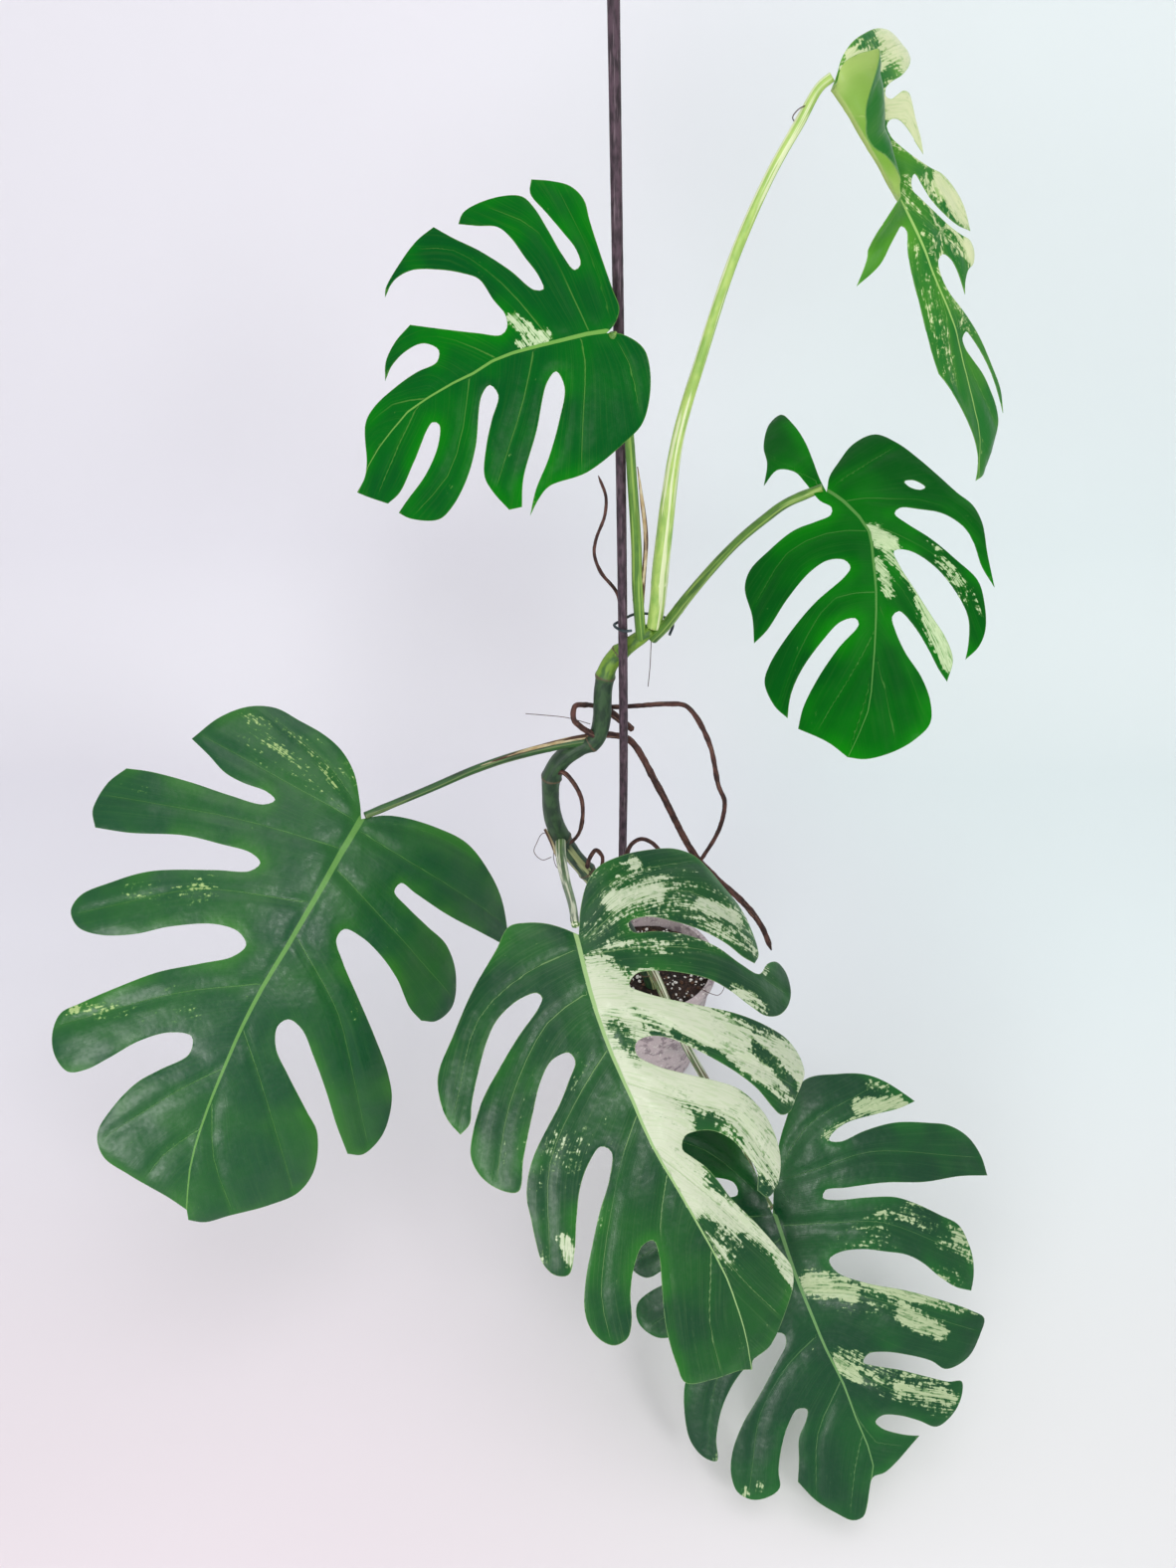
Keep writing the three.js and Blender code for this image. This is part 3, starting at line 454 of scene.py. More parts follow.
def tube_mesh(route, radius_at, sides, step):
    """A closed tube: rings pulled along a route, each wide by radius_at(length, share, turn).

    Each point keeps its straightened place, across and along the tube, for the grain.
    """
    bm = bmesh.new()
    grain = bm.verts.layers.float_vector.new("grain")
    centres = smooth_run(route, step)
    lengths = running_lengths(centres)
    ring = bmesh.ops.create_circle(bm, radius=1, segments=sides)["verts"]
    edges = list({edge for vert in ring for edge in vert.link_edges})
    for vert in ring:
        vert[grain] = vert.co.copy()
    ends = [edges]
    for i, (centre, (side, up)) in enumerate(zip(centres, frames_along(centres))):
        if i:
            made = bmesh.ops.extrude_edge_only(bm, edges=edges)["geom"]
            ring = [item for item in made if isinstance(item, bmesh.types.BMVert)]
            edges = [item for item in made
                     if isinstance(item, bmesh.types.BMEdge) and all(vert in ring for vert in item.verts)]
        share = lengths[i] / lengths[-1]
        for vert in ring:
            x, y = vert[grain][0], vert[grain][1]
            size = hypot(x, y)
            x, y = x / size, y / size
            radius = radius_at(lengths[i], share, atan2(y, x))
            vert.co = (centre + (side * x + up * y) * radius) * MM
            vert[grain] = (x * radius * MM, y * radius * MM, lengths[i] * MM)
    ends.append(edges)
    for rim in ends:
        bmesh.ops.contextual_create(bm, geom=rim)
    bmesh.ops.recalc_face_normals(bm, faces=bm.faces)
    return bm


def grain_place(tree):
    """Straightened coordinates of a tube, so that streaks run along it."""
    return put(tree, "ShaderNodeAttribute", attribute_name="grain").outputs["Vector"]


def new_group(name, inputs, outputs):
    """An empty shader group with its sockets, and its two end nodes."""
    group = bpy.data.node_groups.new(name, "ShaderNodeTree")
    for label, kind in inputs:
        group.interface.new_socket(label, in_out="INPUT", socket_type=kind)
    for label, kind in outputs:
        group.interface.new_socket(label, in_out="OUTPUT", socket_type=kind)
    return group, group.nodes.new("NodeGroupInput").outputs, group.nodes.new("NodeGroupOutput").inputs


# Long fibres and small blotches, which bark, stalks and the stake all show
fibres, fibres_in, fibres_out = new_group(
    "fibres_and_blotches", [("Grain", "NodeSocketVector"), ("Fineness", "NodeSocketFloat")],
    [("Fibres", "NodeSocketFloat"), ("Blotches", "NodeSocketFloat"), ("Height", "NodeSocketFloat")])
fine_grain = put(fibres, "ShaderNodeVectorMath", {0: fibres_in["Grain"], "Scale": fibres_in["Fineness"]},
                 operation="SCALE").outputs[0]
long_fibres = speckle(fibres, stretched(fibres, fine_grain, 900, 45), 1.0, 4.0)
blotches = speckle(fibres, stretched(fibres, fine_grain, 260, 110), 1.0, 3.0)
nubs = speckle(fibres, stretched(fibres, fine_grain, 600, 380), 1.0, 2.0)
relief = maths(fibres, "ADD", times(fibres, long_fibres, 0.6), times(fibres, nubs, 0.6))
for label, socket in (("Fibres", long_fibres), ("Blotches", blotches), ("Height", relief)):
    fibres.links.new(socket, fibres_out[label])


def fibres_of(tree, fineness=1.0):
    made = put(tree, "ShaderNodeGroup", node_tree=fibres)
    tree.links.new(grain_place(tree), made.inputs["Grain"])
    made.inputs["Fineness"].default_value = fineness
    return made.outputs


def stake_look(tree):
    marks = fibres_of(tree)
    plum = mixed(tree, eased(tree, marks["Blotches"], 0.36, 0.62), tint(40, 26, 36), tint(78, 58, 70))
    return {"colour": mixed(tree, eased(tree, marks["Fibres"], 0.56, 0.74), plum, tint(116, 100, 108)),
            "height": marks["Height"]}


def stake_radius(length, share, turn):
    seam = 0.25 * exp(-(cos(turn) / 0.16) ** 2)
    tip = min(1, 0.45 + (1 - share) * 220, 0.3 + share * 60)
    return STAKE_RADIUS * tip * (0.985 + 0.03 * noise.noise(Vector((turn, length * 0.12, 0)))) + seam


stake = object_from("plant_stake", tube_mesh(STAKE_ROUTE, stake_radius, 24, 4),
                    finish("plum_rod", stake_look, 0.62, 0.35 * MM))
carried(stake, "stake", "stake")


# Stem. Thick and dark green, it winds up from the soil to the tie, with a ring and a
# corky scar wherever a leaf stalk or a root leaves it, and turns yellow-green at its top.
STEM_RADIUS = 8.3
STEM_ROUTE = [
    (4, -21, 60), (2, -22, 110), (0, -22, 148), (-30, -19, 228), (-64, -9, 290), (-82, -3, 313),
    (-94, 0, 334), (-102, 2, 360), (-104, 4, 389), (-102, 5, 412), (-92, 7, 430), (-76, 8, 443),
    (-62, 9, 451), (-56, 10, 470), (-54, 12, 509), (-49, 14, 531), (-36, 15, 547),
    (-23, 14, 559), (-13, 13, 569),
]
STEM_SHAPE = [0.8, 1, 1, 0.96, 1.04, 0.98, 1, 1.12, 0.98, 1.08, 0.98, 1, 0.9, 0.7]
STEM_NODES = [(-3, -21, 165), (-70, -7, 296), (-94, 0, 334), (-102, 5, 409), (-66, 9, 449),
              (-53, 13, 520), (-40, 15, 543)]
RING_HEIGHT = 0.9
RING_WIDTH = 2.0
YOUNG_ABOVE = (0.517, 0.526)
STRIPED_BELOW = (0.336, 0.322)
stem_centres = smooth_run(STEM_ROUTE, 1.5)
stem_lengths = running_lengths(stem_centres)
stem_rings = [min(zip(stem_centres, stem_lengths), key=lambda pair: (pair[0] - Vector(spot)).length)[1]
              for spot in STEM_NODES]


def stem_radius(length, share, turn):
    swell = sum(exp(-((length - at) / 7) ** 2) for at in stem_rings) * 0.6
    rings = sum(exp(-((length - at - 0.6 * sin(turn)) / RING_WIDTH) ** 2) for at in stem_rings) * RING_HEIGHT
    furrow = 0.35 * sin(3 * turn + length * 0.02) + 0.3 * noise.noise(Vector((turn, length * 0.09, 3)))
    return STEM_RADIUS * spread(STEM_SHAPE, share) + swell + rings + furrow


def stem_look(tree):
    marks = fibres_of(tree, 0.7)
    height = put(tree, "ShaderNodeSeparateXYZ", {0: object_place(tree)}).outputs["Z"]
    young = eased(tree, height, *YOUNG_ABOVE)
    green = mixed(tree, young, tint(26, 54, 34), tint(112, 150, 44))
    spots = mixed(tree, young, tint(50, 82, 48), tint(56, 100, 34))
    colour = mixed(tree, eased(tree, marks["Blotches"], 0.4, 0.66), green, spots)
    stripes = speckle(tree, stretched(tree, grain_place(tree), 300, 7), 1.0, 1.0)
    striped = times(tree, eased(tree, stripes, 0.56, 0.62), eased(tree, height, *STRIPED_BELOW))
    colour = mixed(tree, times(tree, striped, 0.7), colour, tint(190, 196, 140))
    length = put(tree, "ShaderNodeSeparateXYZ", {0: grain_place(tree)}).outputs["Z"]
    for at in stem_rings:
        away = maths(tree, "ABSOLUTE", maths(tree, "SUBTRACT", length, at * MM))
        rough = maths(tree, "ADD", away, times(tree, marks["Fibres"], 4 * MM))
        colour = mixed(tree, eased(tree, rough, 3.4 * MM, 2.4 * MM), colour, tint(84, 72, 52))
    return {"colour": colour, "height": marks["Height"]}


stem = object_from("winding_stem", tube_mesh(STEM_ROUTE, stem_radius, 32, 1.5),
                   finish("green_stem", stem_look, 0.5, 0.3 * MM))
carried(stem, "stem", "stem")


# Leaf stalks. Each is a firm green stalk with a shallow groove, thick where it clasps the
# stem and thin at the leaf. The looks are its colour, its stripes and its darker blotches.
STALKS = {
    "petiole_upper_right": {
        "route": [(-11, 12, 572), (-9, 13, 596), (-7, 15, 638), (1, 14, 740), (15, 12, 804), (33, 9, 874),
                  (52, 6, 926), (68, 3, 959), (78, 1, 979), (85, 0, 985)],
        "radii": [6.6, 7.2, 6.4, 4.9, 4.4, 4, 3.8, 3.4, 3],
        "look": ((178, 207, 110), (222, 232, 184), (142, 184, 86)),
    },
    "petiole_upper_left": {
        "route": [(-22, 12, 560), (-27, 4, 616), (-29, 1, 656), (-34, -4, 716), (-38, -10, 760),
                  (-44, -20, 802), (-51, -29, 836)],
        "radii": [4.6, 4.6, 4.2, 3.8, 3.4, 3],
        "look": ((92, 138, 48), (140, 176, 80), (70, 116, 40)),
    },
    "petiole_middle_right": {
        "route": [(-12, 12, 560), (-2, 8, 575), (14, -4, 610), (32, -18, 647), (49, -28, 676),
                  (66, -38, 700), (80, -44, 716), (104, -49.5, 731)],
        "radii": [5, 4.6, 4, 3.4, 3.6, 3.2],
        "look": ((84, 128, 44), (132, 164, 76), (56, 96, 34)),
    },
    "petiole_lower_left": {
        "route": [(-62, 9, 451), (-91, 2, 451), (-133, -12, 449), (-168, -31, 449), (-210, -58, 447),
                  (-261, -89, 444)],
        "radii": [4.6, 4.4, 3.8, 3.6, 3.4, 3.2],
        "look": ((40, 88, 34), (92, 116, 66), (34, 62, 32)),
    },
    "petiole_front": {
        "route": [(-95, 3, 336), (-94, -30, 341), (-88, -100, 376), (-81, -165, 412), (-78, -216, 443)],
        "radii": [5.2, 5, 4.4, 3.8, 3.4, 3.2],
        "look": ((96, 128, 74), (222, 226, 196), (70, 100, 56)),
    },
    "petiole_lower_right": {
        "route": [(-3, -22, 172), (4, -50, 181), (27, -120, 173), (44, -180, 188), (68, -255, 199),
                  (78, -300, 205), (86, -322, 209)],
        "radii": [5, 4.6, 4.2, 4, 3.6, 3.3],
        "look": ((86, 120, 62), (222, 226, 200), (112, 88, 62)),
    },
}
GROOVE_DEPTH = 0.14
GROOVE_WIDTH = 0.45
GROOVE_TURN = 1.4
SCAR_AT = 43
KNEE_AT = 0.93


def stalk_radius(radii):
    def radius_at(length, share, turn):
        off = (turn - GROOVE_TURN + pi) % (2 * pi) - pi
        groove = 1 - GROOVE_DEPTH * exp(-(off / GROOVE_WIDTH) ** 2)
        knee = 0.09 * exp(-((share - KNEE_AT) / 0.03) ** 2)
        scar = 0.05 * exp(-((length - SCAR_AT) / 1.2) ** 2)
        uneven = 1 + 0.02 * noise.noise(Vector((length * 0.05, turn, 7)))
        return spread(radii, share) * groove * (1 + knee + scar) * uneven
    return radius_at


def stalk_look(green, stripe, dark):
    def build(tree):
        marks = fibres_of(tree, 0.6)
        stripes = speckle(tree, stretched(tree, grain_place(tree), 420, 9), 1.0, 2.0)
        body = mixed(tree, eased(tree, marks["Blotches"], 0.35, 0.7), tint(*green), tint(*dark))
        return {"colour": mixed(tree, eased(tree, stripes, 0.52, 0.6), body, tint(*stripe)),
                "height": marks["Fibres"]}
    return build


for node, stalk in STALKS.items():
    name = node.replace("petiole", "stalk")
    look = finish(name, stalk_look(*stalk["look"]), 0.42, 0.12 * MM)
    tube = tube_mesh(stalk["route"], stalk_radius(stalk["radii"]), 20, 2)
    carried(object_from(name, tube, look), "petiole", node)


# Aerial roots. Brown and woody with a flaking skin, 2 to 7 mm thick. They grow from the
# stem's nodes and hang or arch free in the air. Each has its route and its radii along it.
ROOTS = {
    "root_thick": (
        [(-57, 9, 456), (-46, 12, 454), (-29, 14, 446), (-2, 0, 402), (35, -18, 331), (60, -28, 304),
         (83, -36, 285), (105, -42, 255), (118, -46, 223)],
        [3, 3.2, 3.2, 3.2, 3, 2.6]),
    "root_kinked": (
        [(-60, 6, 456), (-75, 0, 473), (-81, -4, 485), (-80, 0, 495), (-71, 14, 487), (-60, 26, 477),
         (-45, 27, 475), (-23, 22, 480), (4, 14, 488), (21, 6, 491), (42, -4, 459), (54, -10, 411),
         (61, -12, 392), (57, -16, 359), (43, -24, 332), (31, -34, 317)],
        [3, 2.4, 2.2, 2.2, 2.2, 2.2, 2.2, 2, 1.8]),
    "root_loop": (
        [(-102, 4, 411), (-92, -2, 421), (-84, -9, 418), (-75, -12, 400), (-73, -12, 376),
         (-77, -12, 352), (-86, -12, 338)],
        [2.4, 2.2, 2, 1.8, 1.6]),
    "root_hook": (
        [(-70, -9, 298), (-66, -14, 322), (-60, -16, 334), (-54, -16, 325), (-55, -16, 308)],
        [2.2, 2.1, 2, 1.7]),
    "root_arch": (
        [(-33, -24, 250), (-32, -24, 316), (-30, -25, 340), (-25, -26, 353), (-17, -27, 359),
         (-7, -27, 354), (2, -26, 340), (11, -24, 307)],
        [2.4, 2.2, 2, 1.8]),
    "root_rising": (
        [(-34, 16, 552), (-39, 16, 579), (-43, 14, 603), (-58, 2, 632), (-63, 0, 650), (-61, 0, 664),
         (-55, 0, 682), (-54, 0, 699), (-60, 0, 717)],
        [2, 1.6, 1.4, 1.3, 1.2]),
    "root_stub": ([(-51, 14, 482), (-40, 16, 470), (-26, 14, 458)], [3.2, 3.4, 2.8]),
}


def root_radius(radii):
    def radius_at(length, share, turn):
        skin = noise.fractal(Vector((2 * cos(turn), 2 * sin(turn), length * 0.22)), 0.9, 2.0, 3)
        knuckle = max(0, noise.noise(Vector((length * 0.08, 4, share)))) * 0.35
        tip = min(1, 0.25 + (1 - share) * 25)
        return spread(radii, share) * tip * (1 + 0.10 * skin + knuckle)
    return radius_at


def root_look(tree):
    marks = fibres_of(tree, 1.0)
    brown = mixed(tree, eased(tree, marks["Blotches"], 0.38, 0.64), tint(48, 26, 24), tint(90, 56, 48))
    flakes = mixed(tree, eased(tree, marks["Fibres"], 0.60, 0.74), brown, tint(150, 118, 98))
    return {"colour": flakes, "height": marks["Height"]}


root_skin = finish("root_skin", root_look, 0.8, 0.5 * MM)
for node, (route, radii) in ROOTS.items():
    tube = tube_mesh(route, root_radius(radii), 14, 1.4)
    carried(object_from(f"aerial_{node}", tube, root_skin), "root", node)


# Dry sheaths and hair roots. Papery strips, tan with brown edges, are what is left of the
# sheaths that wrapped the young stalks, and cling to them. Fine brown hairs grow at the nodes.
SHEATHS = {
    "upper_left": (
        [(-31, -25, 736), (-27, -18, 708), (-22, -8, 668), (-22, 2, 626), (-22, 8, 590)],
        [0.4, 1.7, 1.9, 1.8, 1.2]),
    "middle_right": ([(40, -25, 661), (32, -19, 648), (21, -9, 626), (12, 2, 606)], [0.3, 1.3, 1.6, 1.0]),
    "lower_left": (
        [(-66, 8, 456), (-91, 0, 456.5), (-130, -13, 453.5), (-165, -31, 452)],
        [3, 2.2, 1.5, 0.4]),
    "front": ([(-110, -1, 348), (-104, -8, 338), (-93, -40, 332)], [1.5, 2, 0.5]),
}
HAIRS = {
    "tie_thread": [(-13, 14, 578), (-13, 14, 555), (-13, 15, 530), (-14, 16, 506)],
    "long_hair": [(-124, -2, 489), (-109, 0, 486), (-87, 0, 483), (-66, 5, 472)],
    "curly_hair": [(-104, 0, 342), (-113, 2, 339), (-118, -4, 333), (-121, -8, 324), (-113, -10, 315),
                  (-104, -8, 317)],
    "short_hair": [(-101, -3, 328), (-102, -6, 314), (-99, -8, 303), (-93, -8, 297)],
    "stalk_hair": [(72, 2, 967), (66, 4, 959), (63, 2, 962), (66, 0, 967), (70, 0, 969)],
    "soil_hair": [(38, -40, 150), (46, -40, 159), (59, -44, 154), (69, -48, 155), (74, -46, 162),
                 (74, -44, 173)],
}
HAIR_RADIUS = 0.35


def dry_look(tree):
    marks = fibres_of(tree, 0.6)
    paper = mixed(tree, eased(tree, marks["Blotches"], 0.35, 0.65), tint(206, 194, 158), tint(170, 146, 104))
    return {"colour": mixed(tree, eased(tree, marks["Fibres"], 0.47, 0.56), paper, tint(76, 50, 36)),
            "height": marks["Height"]}


def strip_radius(radii):
    return lambda length, share, turn: spread(radii, share) * (1 - 0.45 * abs(sin(turn)))


dry_paper = finish("dry_paper", dry_look, 0.8, 0.3 * MM)
for name, (route, radii) in SHEATHS.items():
    strip = tube_mesh(route, strip_radius(radii), 12, 2)
    carried(object_from(f"dry_sheath_{name}", strip, dry_paper), "petiole")
for name, route in HAIRS.items():
    hair = tube_mesh(route, lambda length, share, turn: HAIR_RADIUS, 8, 1.5)
    carried(object_from(name, hair, root_skin), "root")


# Tie. One length of dark coated wire, bent by hand: it hooks round the stake and passes
# behind the top of the stem, and holds the two together.
TIE_RADIUS = 1.2
TIE_ROUTE = [(-31, -7, 580), (-38.7, -7.4, 580), (-45.8, 0, 581), (-39, 7.6, 581), (-28, 19, 580),
             (-16, 23, 578), (-4, 22, 576), (5, 15, 573), (2, 5, 568)]


def tie_look(tree):
    scuff = speckle(tree, stretched(tree, grain_place(tree), 500, 150), 1.0, 3.0)
    return {"colour": mixed(tree, eased(tree, scuff, 0.45, 0.7), tint(26, 40, 46), tint(74, 96, 100)),
            "height": scuff}


tie = object_from("wire_tie", tube_mesh(TIE_ROUTE, lambda length, share, turn: TIE_RADIUS, 12, 1.5),
                  finish("dark_wire", tie_look, 0.45, 0.1 * MM))
carried(tie, "tie", "tie")


# Leaf blades. Firm, glossy and cut into lobes almost to the midrib, each blade hangs from its
# stalk with the tip down. Every lobe has one side vein; the sheet dips along it and rises
# between. The white parts of the sport run in streaks along the veins.
#
# A blade is laid out flat first: x to the right of the midrib as seen from above with the tip
# up, y from the stalk to the tip. A third value of 1 in an outline marks a sharp tip. Veins go
# from base to tip on each side, and patches are (x, y, x, y, reach, how much of it is cream).
#
# Then it hangs from the junction: heading, pitch and roll turn it, the arch bends it from stalk
# to tip, and each side droops, left first. A list of folds or droops runs from stalk to tip.
# A look is the colour of the sheet, its fresh rim, its veins and its cream; rib is half the
# midrib's width at the stalk. The underside has its own colour and veins; on the upper right
# leaf that colour is also made brighter as painted light, for the light that shines through the blade.
LEAVES = {
    "leaf_lower_left": {
        "junction": (-262, -90, 445), "heading": -111, "pitch": 31, "roll": -40, "arch": 20,
        "droop": (30, 25), "length": 362, "half": 180,
        "look": ((6, 72, 36), (44, 114, 28), (92, 144, 66), (168, 190, 124)),
        "rib": 3.4, "gloss": 0.42, "under": ((96, 140, 84), (150, 186, 112)),
        "edge": [
            (0, 3, 1), (7, -10), (21, -32), (38, -46), (56, -53), (81, -57), (103, -60), (124, -53),
            (143, -35), (157, -9, 1), (138, 0), (121, 9), (104, 12), (83, 12), (74, 16), (81, 23),
            (110, 26), (144, 27), (178, 30), (197, 34, 1), (206, 50), (209, 68), (208, 79), (200, 91, 1),
            (172, 85), (130, 71), (100, 67), (75, 65), (65, 70), (70, 79), (97, 89), (144, 109),
            (169, 129), (187, 148), (189, 163), (178, 173), (159, 172), (134, 161), (111, 145), (79, 130),
            (59, 129), (49, 137), (55, 149), (77, 164), (104, 182), (127, 204), (150, 229), (161, 243),
            (160, 261), (151, 276), (136, 284), (124, 277), (112, 262), (95, 239), (76, 224), (59, 221),
            (55, 235), (71, 255), (83, 271), (92, 297), (94, 321), (82, 337), (57, 344), (20, 352),
            (2, 358, 1), (-3, 366, 1), (-17, 364), (-33, 354), (-62, 338), (-83, 322), (-88, 301),
            (-75, 267), (-56, 250), (-28, 226), (-8, 207), (-2, 190), (-8, 182), (-22, 186), (-42, 205),
            (-65, 229), (-88, 255), (-113, 280, 1), (-130, 278), (-141, 258), (-135, 226), (-118, 202),
            (-88, 173), (-58, 146), (-32, 122), (-19, 106), (-22, 96), (-39, 97), (-61, 105), (-87, 120),
            (-111, 140), (-129, 148, 1), (-147, 144), (-159, 127), (-148, 98), (-124, 76), (-96, 67),
            (-69, 58), (-52, 50), (-55, 41), (-71, 44), (-111, 50), (-160, 52), (-206, 53, 1), (-195, 38),
            (-170, 13), (-142, -4), (-105, -18), (-69, -18), (-34, -13), (-16, -7)
        ],
        "midrib": [
            (0, 2), (6, 38), (11, 76), (15, 107), (19, 136), (23, 165), (25, 198), (25, 228), (24, 257),
            (21, 289), (15, 323), (3, 356)
        ],
        "right": [
            [(6, -4), (45, -30), (105, -52)], [(8, 6), (70, -2), (146, -14)],
            [(10, 34), (87, 41), (183, 58)], [(20, 87), (102, 108), (165, 150)],
            [(28, 163), (86, 194), (145, 241)], [(24, 235), (50, 265), (80, 310)],
            [(22, 290), (40, 320), (45, 345)]
        ],
        "left": [
            [(-4, 2), (-60, -10), (-130, -10)], [(-3, 13), (-42, 19), (-156, 30)],
            [(3, 52), (-38, 70), (-128, 108)], [(11, 118), (-47, 165), (-89, 218), (-125, 262)],
            [(25, 200), (-10, 240), (-60, 300)], [(22, 265), (0, 310), (-35, 350)]
        ],
        "patches": [
            (35, -20, 110, -38, 22, 0.3), (60, 205, 150, 235, 10, 0.32), (95, 108, 150, 130, 9, 0.32),
            (40, 200, 80, 190, 14, 0.16)
        ],
    },
    "leaf_upper_left": {
        "junction": (-52, -30, 839), "heading": -172, "pitch": 28, "roll": -60, "arch": 25,
        "droop": (25, 15), "length": 235, "half": 110,
        "look": ((0, 80, 26), (4, 122, 4), (110, 160, 74), (200, 216, 180)),
        "rib": 1.7, "gloss": 0.07, "under": ((96, 146, 84), (150, 186, 112)),
        "edge": [
            (0, 4, 1), (2, -3), (9, -11), (23, -13), (45, -16), (70, -20), (85, -23), (98, -19),
            (109, -8), (117, 3, 1), (109, 8), (91, 4), (74, 0), (58, -3), (48, -1), (47, 4), (61, 7),
            (78, 8), (99, 10), (110, 14), (118, 26), (124, 46), (124, 58), (119, 64, 1), (110, 52),
            (101, 39), (90, 34), (73, 31), (56, 28), (47, 29), (50, 35), (70, 44), (94, 58), (113, 72),
            (128, 82, 1), (127, 98), (121, 116), (111, 136), (106, 139, 1), (112, 128), (111, 112),
            (99, 91), (87, 76), (77, 67), (59, 64), (46, 61), (38, 64), (36, 70), (46, 85), (64, 110),
            (78, 129, 1), (74, 146), (66, 160), (55, 167, 1), (61, 157), (64, 140), (61, 125), (51, 117),
            (45, 122), (47, 140), (47, 160), (44, 186), (38, 199), (15, 214), (6, 223), (0, 237, 1),
            (-6, 231), (-20, 216, 1), (-18, 201), (-5, 176), (11, 147), (7, 143), (-4, 151), (-17, 172),
            (-26, 200), (-30, 212, 1), (-38, 206), (-50, 185), (-48, 170), (-37, 147), (-20, 126),
            (8, 103), (11, 94), (2, 92), (-10, 105), (-24, 119), (-41, 132), (-53, 133), (-71, 130, 1),
            (-74, 120, 1), (-57, 107), (-33, 80), (-8, 56), (-5, 47), (-17, 47), (-35, 62), (-54, 83),
            (-68, 103), (-83, 119, 1), (-75, 105), (-71, 93), (-76, 63), (-71, 29), (-65, 10), (-45, -7),
            (-25, -14), (-16, -12), (-5, -4)
        ],
        "midrib": [
            (1, 3), (6, 16), (10, 30), (16, 50), (21, 68), (24, 84), (24, 101), (26, 118), (27, 141),
            (27, 161), (23, 179), (18, 198), (11, 215), (2, 231)
        ],
        "right": [
            [(5, -2), (45, -9), (95, -10)], [(7, 14), (34, 13), (83, 15), (118, 40)],
            [(15, 40), (65, 53), (105, 75), (122, 100)], [(25, 81), (51, 103), (66, 125), (68, 150)],
            [(27, 141), (38, 170), (36, 196)], [(20, 195), (17, 205), (14, 214)]
        ],
        "left": [
            [(1, 2), (-25, 0), (-55, 8)], [(5, 21), (-10, 26), (-53, 53)],
            [(14, 55), (-9, 76), (-42, 116)], [(23, 105), (-4, 127), (-27, 158), (-36, 195)],
            [(27, 150), (12, 180), (-8, 215)]
        ],
        "patches": [(19, 44, 23, 58, 6, 0.62), (28, 51, 42, 57, 6, 0.62)],
    },
    "leaf_upper_right": {
        "junction": (85, 0, 985), "heading": -4, "pitch": 48, "roll": 0, "twist": 10, "arch": 24,
        "fold": (
            (-50, -50, -50, -48, -45, -44, -42, -40, -38, -36, -34, -32, -30),
            (-78, -76, -70, -60, 60, 58, 50, 40, 35, 30, 25, 20, 15)
        ),
        "droop": ((60, 50, 40, 30, 20), (175, 285, 430, 600, 40, 30, 30, 30, 30, 30, 30, 30, 30)),
        "length": 312, "half": 120,
        "look": ((24, 106, 36), (84, 152, 40), (150, 190, 104), (212, 220, 174)),
        # The underside colours here are brighter than the blade's own: painted light, for the light shining
        # through it.
        "rib": 1.6, "gloss": 0.16, "under": ((134, 186, 70), (188, 214, 124)),
        "edge": [
            (0, 5, 1), (10, -2), (22, -2), (36, 0), (50, 0), (61, 5), (65, 14), (59, 27), (46, 42),
            (31, 55), (20, 66), (13, 74), (7, 79), (8, 84), (20, 85), (30, 93), (37, 106), (52, 119, 1),
            (32, 116), (18, 108), (8, 104), (6, 109), (11, 119), (16, 138), (19, 155), (23, 173),
            (26, 190), (27, 206, 1), (23, 217), (17, 238), (12, 258), (9, 274), (9, 286), (13, 293),
            (20, 299, 1), (6, 302), (-4, 297), (-16, 287), (-26, 276), (-26, 262), (-23, 250), (-18, 234),
            (-10, 217), (-6, 206), (-6, 198), (-11, 196), (-16, 205), (-21, 217), (-27, 234), (-31, 250),
            (-35, 274, 1), (-37, 257), (-31, 233), (-24, 207), (-17, 188), (-12, 176), (-8, 166),
            (-6, 156), (-6, 147), (-8, 140), (-14, 139), (-20, 147), (-22, 156), (-22, 174, 1),
            (-26, 168), (-34, 163), (-44, 163), (-50, 157), (-49, 149), (-42, 142), (-32, 130),
            (-22, 112), (-15, 98), (-12, 90), (-15, 85), (-20, 84), (-22, 94), (-24, 104), (-30, 118),
            (-40, 133), (-54, 145, 1), (-58, 130), (-56, 116), (-49, 102), (-37, 90), (-27, 77),
            (-20, 65), (-16, 55), (-17, 48), (-22, 47), (-29, 51), (-33, 60), (-34, 70), (-36, 80, 1),
            (-41, 72), (-45, 62), (-50, 54), (-54, 47), (-50, 43), (-42, 41), (-33, 39), (-30, 35),
            (-34, 32), (-44, 33), (-56, 36), (-70, 38), (-88, 39), (-102, 38), (-108, 30), (-100, 20),
            (-84, 13), (-66, 6), (-49, 1), (-30, -3), (-14, -2)
        ],
        "midrib": [(0, 4), (0, 60), (0, 150), (0, 230), (2, 275), (14, 297)],
        "right": [
            [(3, 6), (30, 8), (60, 14)], [(3, 28), (24, 42), (44, 40)], [(1, 82), (30, 102), (50, 118)],
            [(1, 108), (12, 146), (25, 200)], [(0, 160), (10, 200), (14, 240)]
        ],
        "left": [
            [(-3, 6), (-40, 14), (-100, 30)], [(-2, 22), (-24, 42), (-42, 52), (-37, 77)],
            [(-2, 50), (-22, 75), (-43, 100), (-54, 142)], [(-2, 86), (-18, 122), (-38, 152), (-24, 170)],
            [(-1, 146), (-11, 182), (-27, 224), (-35, 270)], [(-1, 192), (-8, 225), (-21, 270)]
        ],
        "patches": [
            (-82, 22, -108, 32, 26, 0.95), (-20, 8, -60, 22, 14, 0.5), (-34, 44, -46, 56, 14, 0.95),
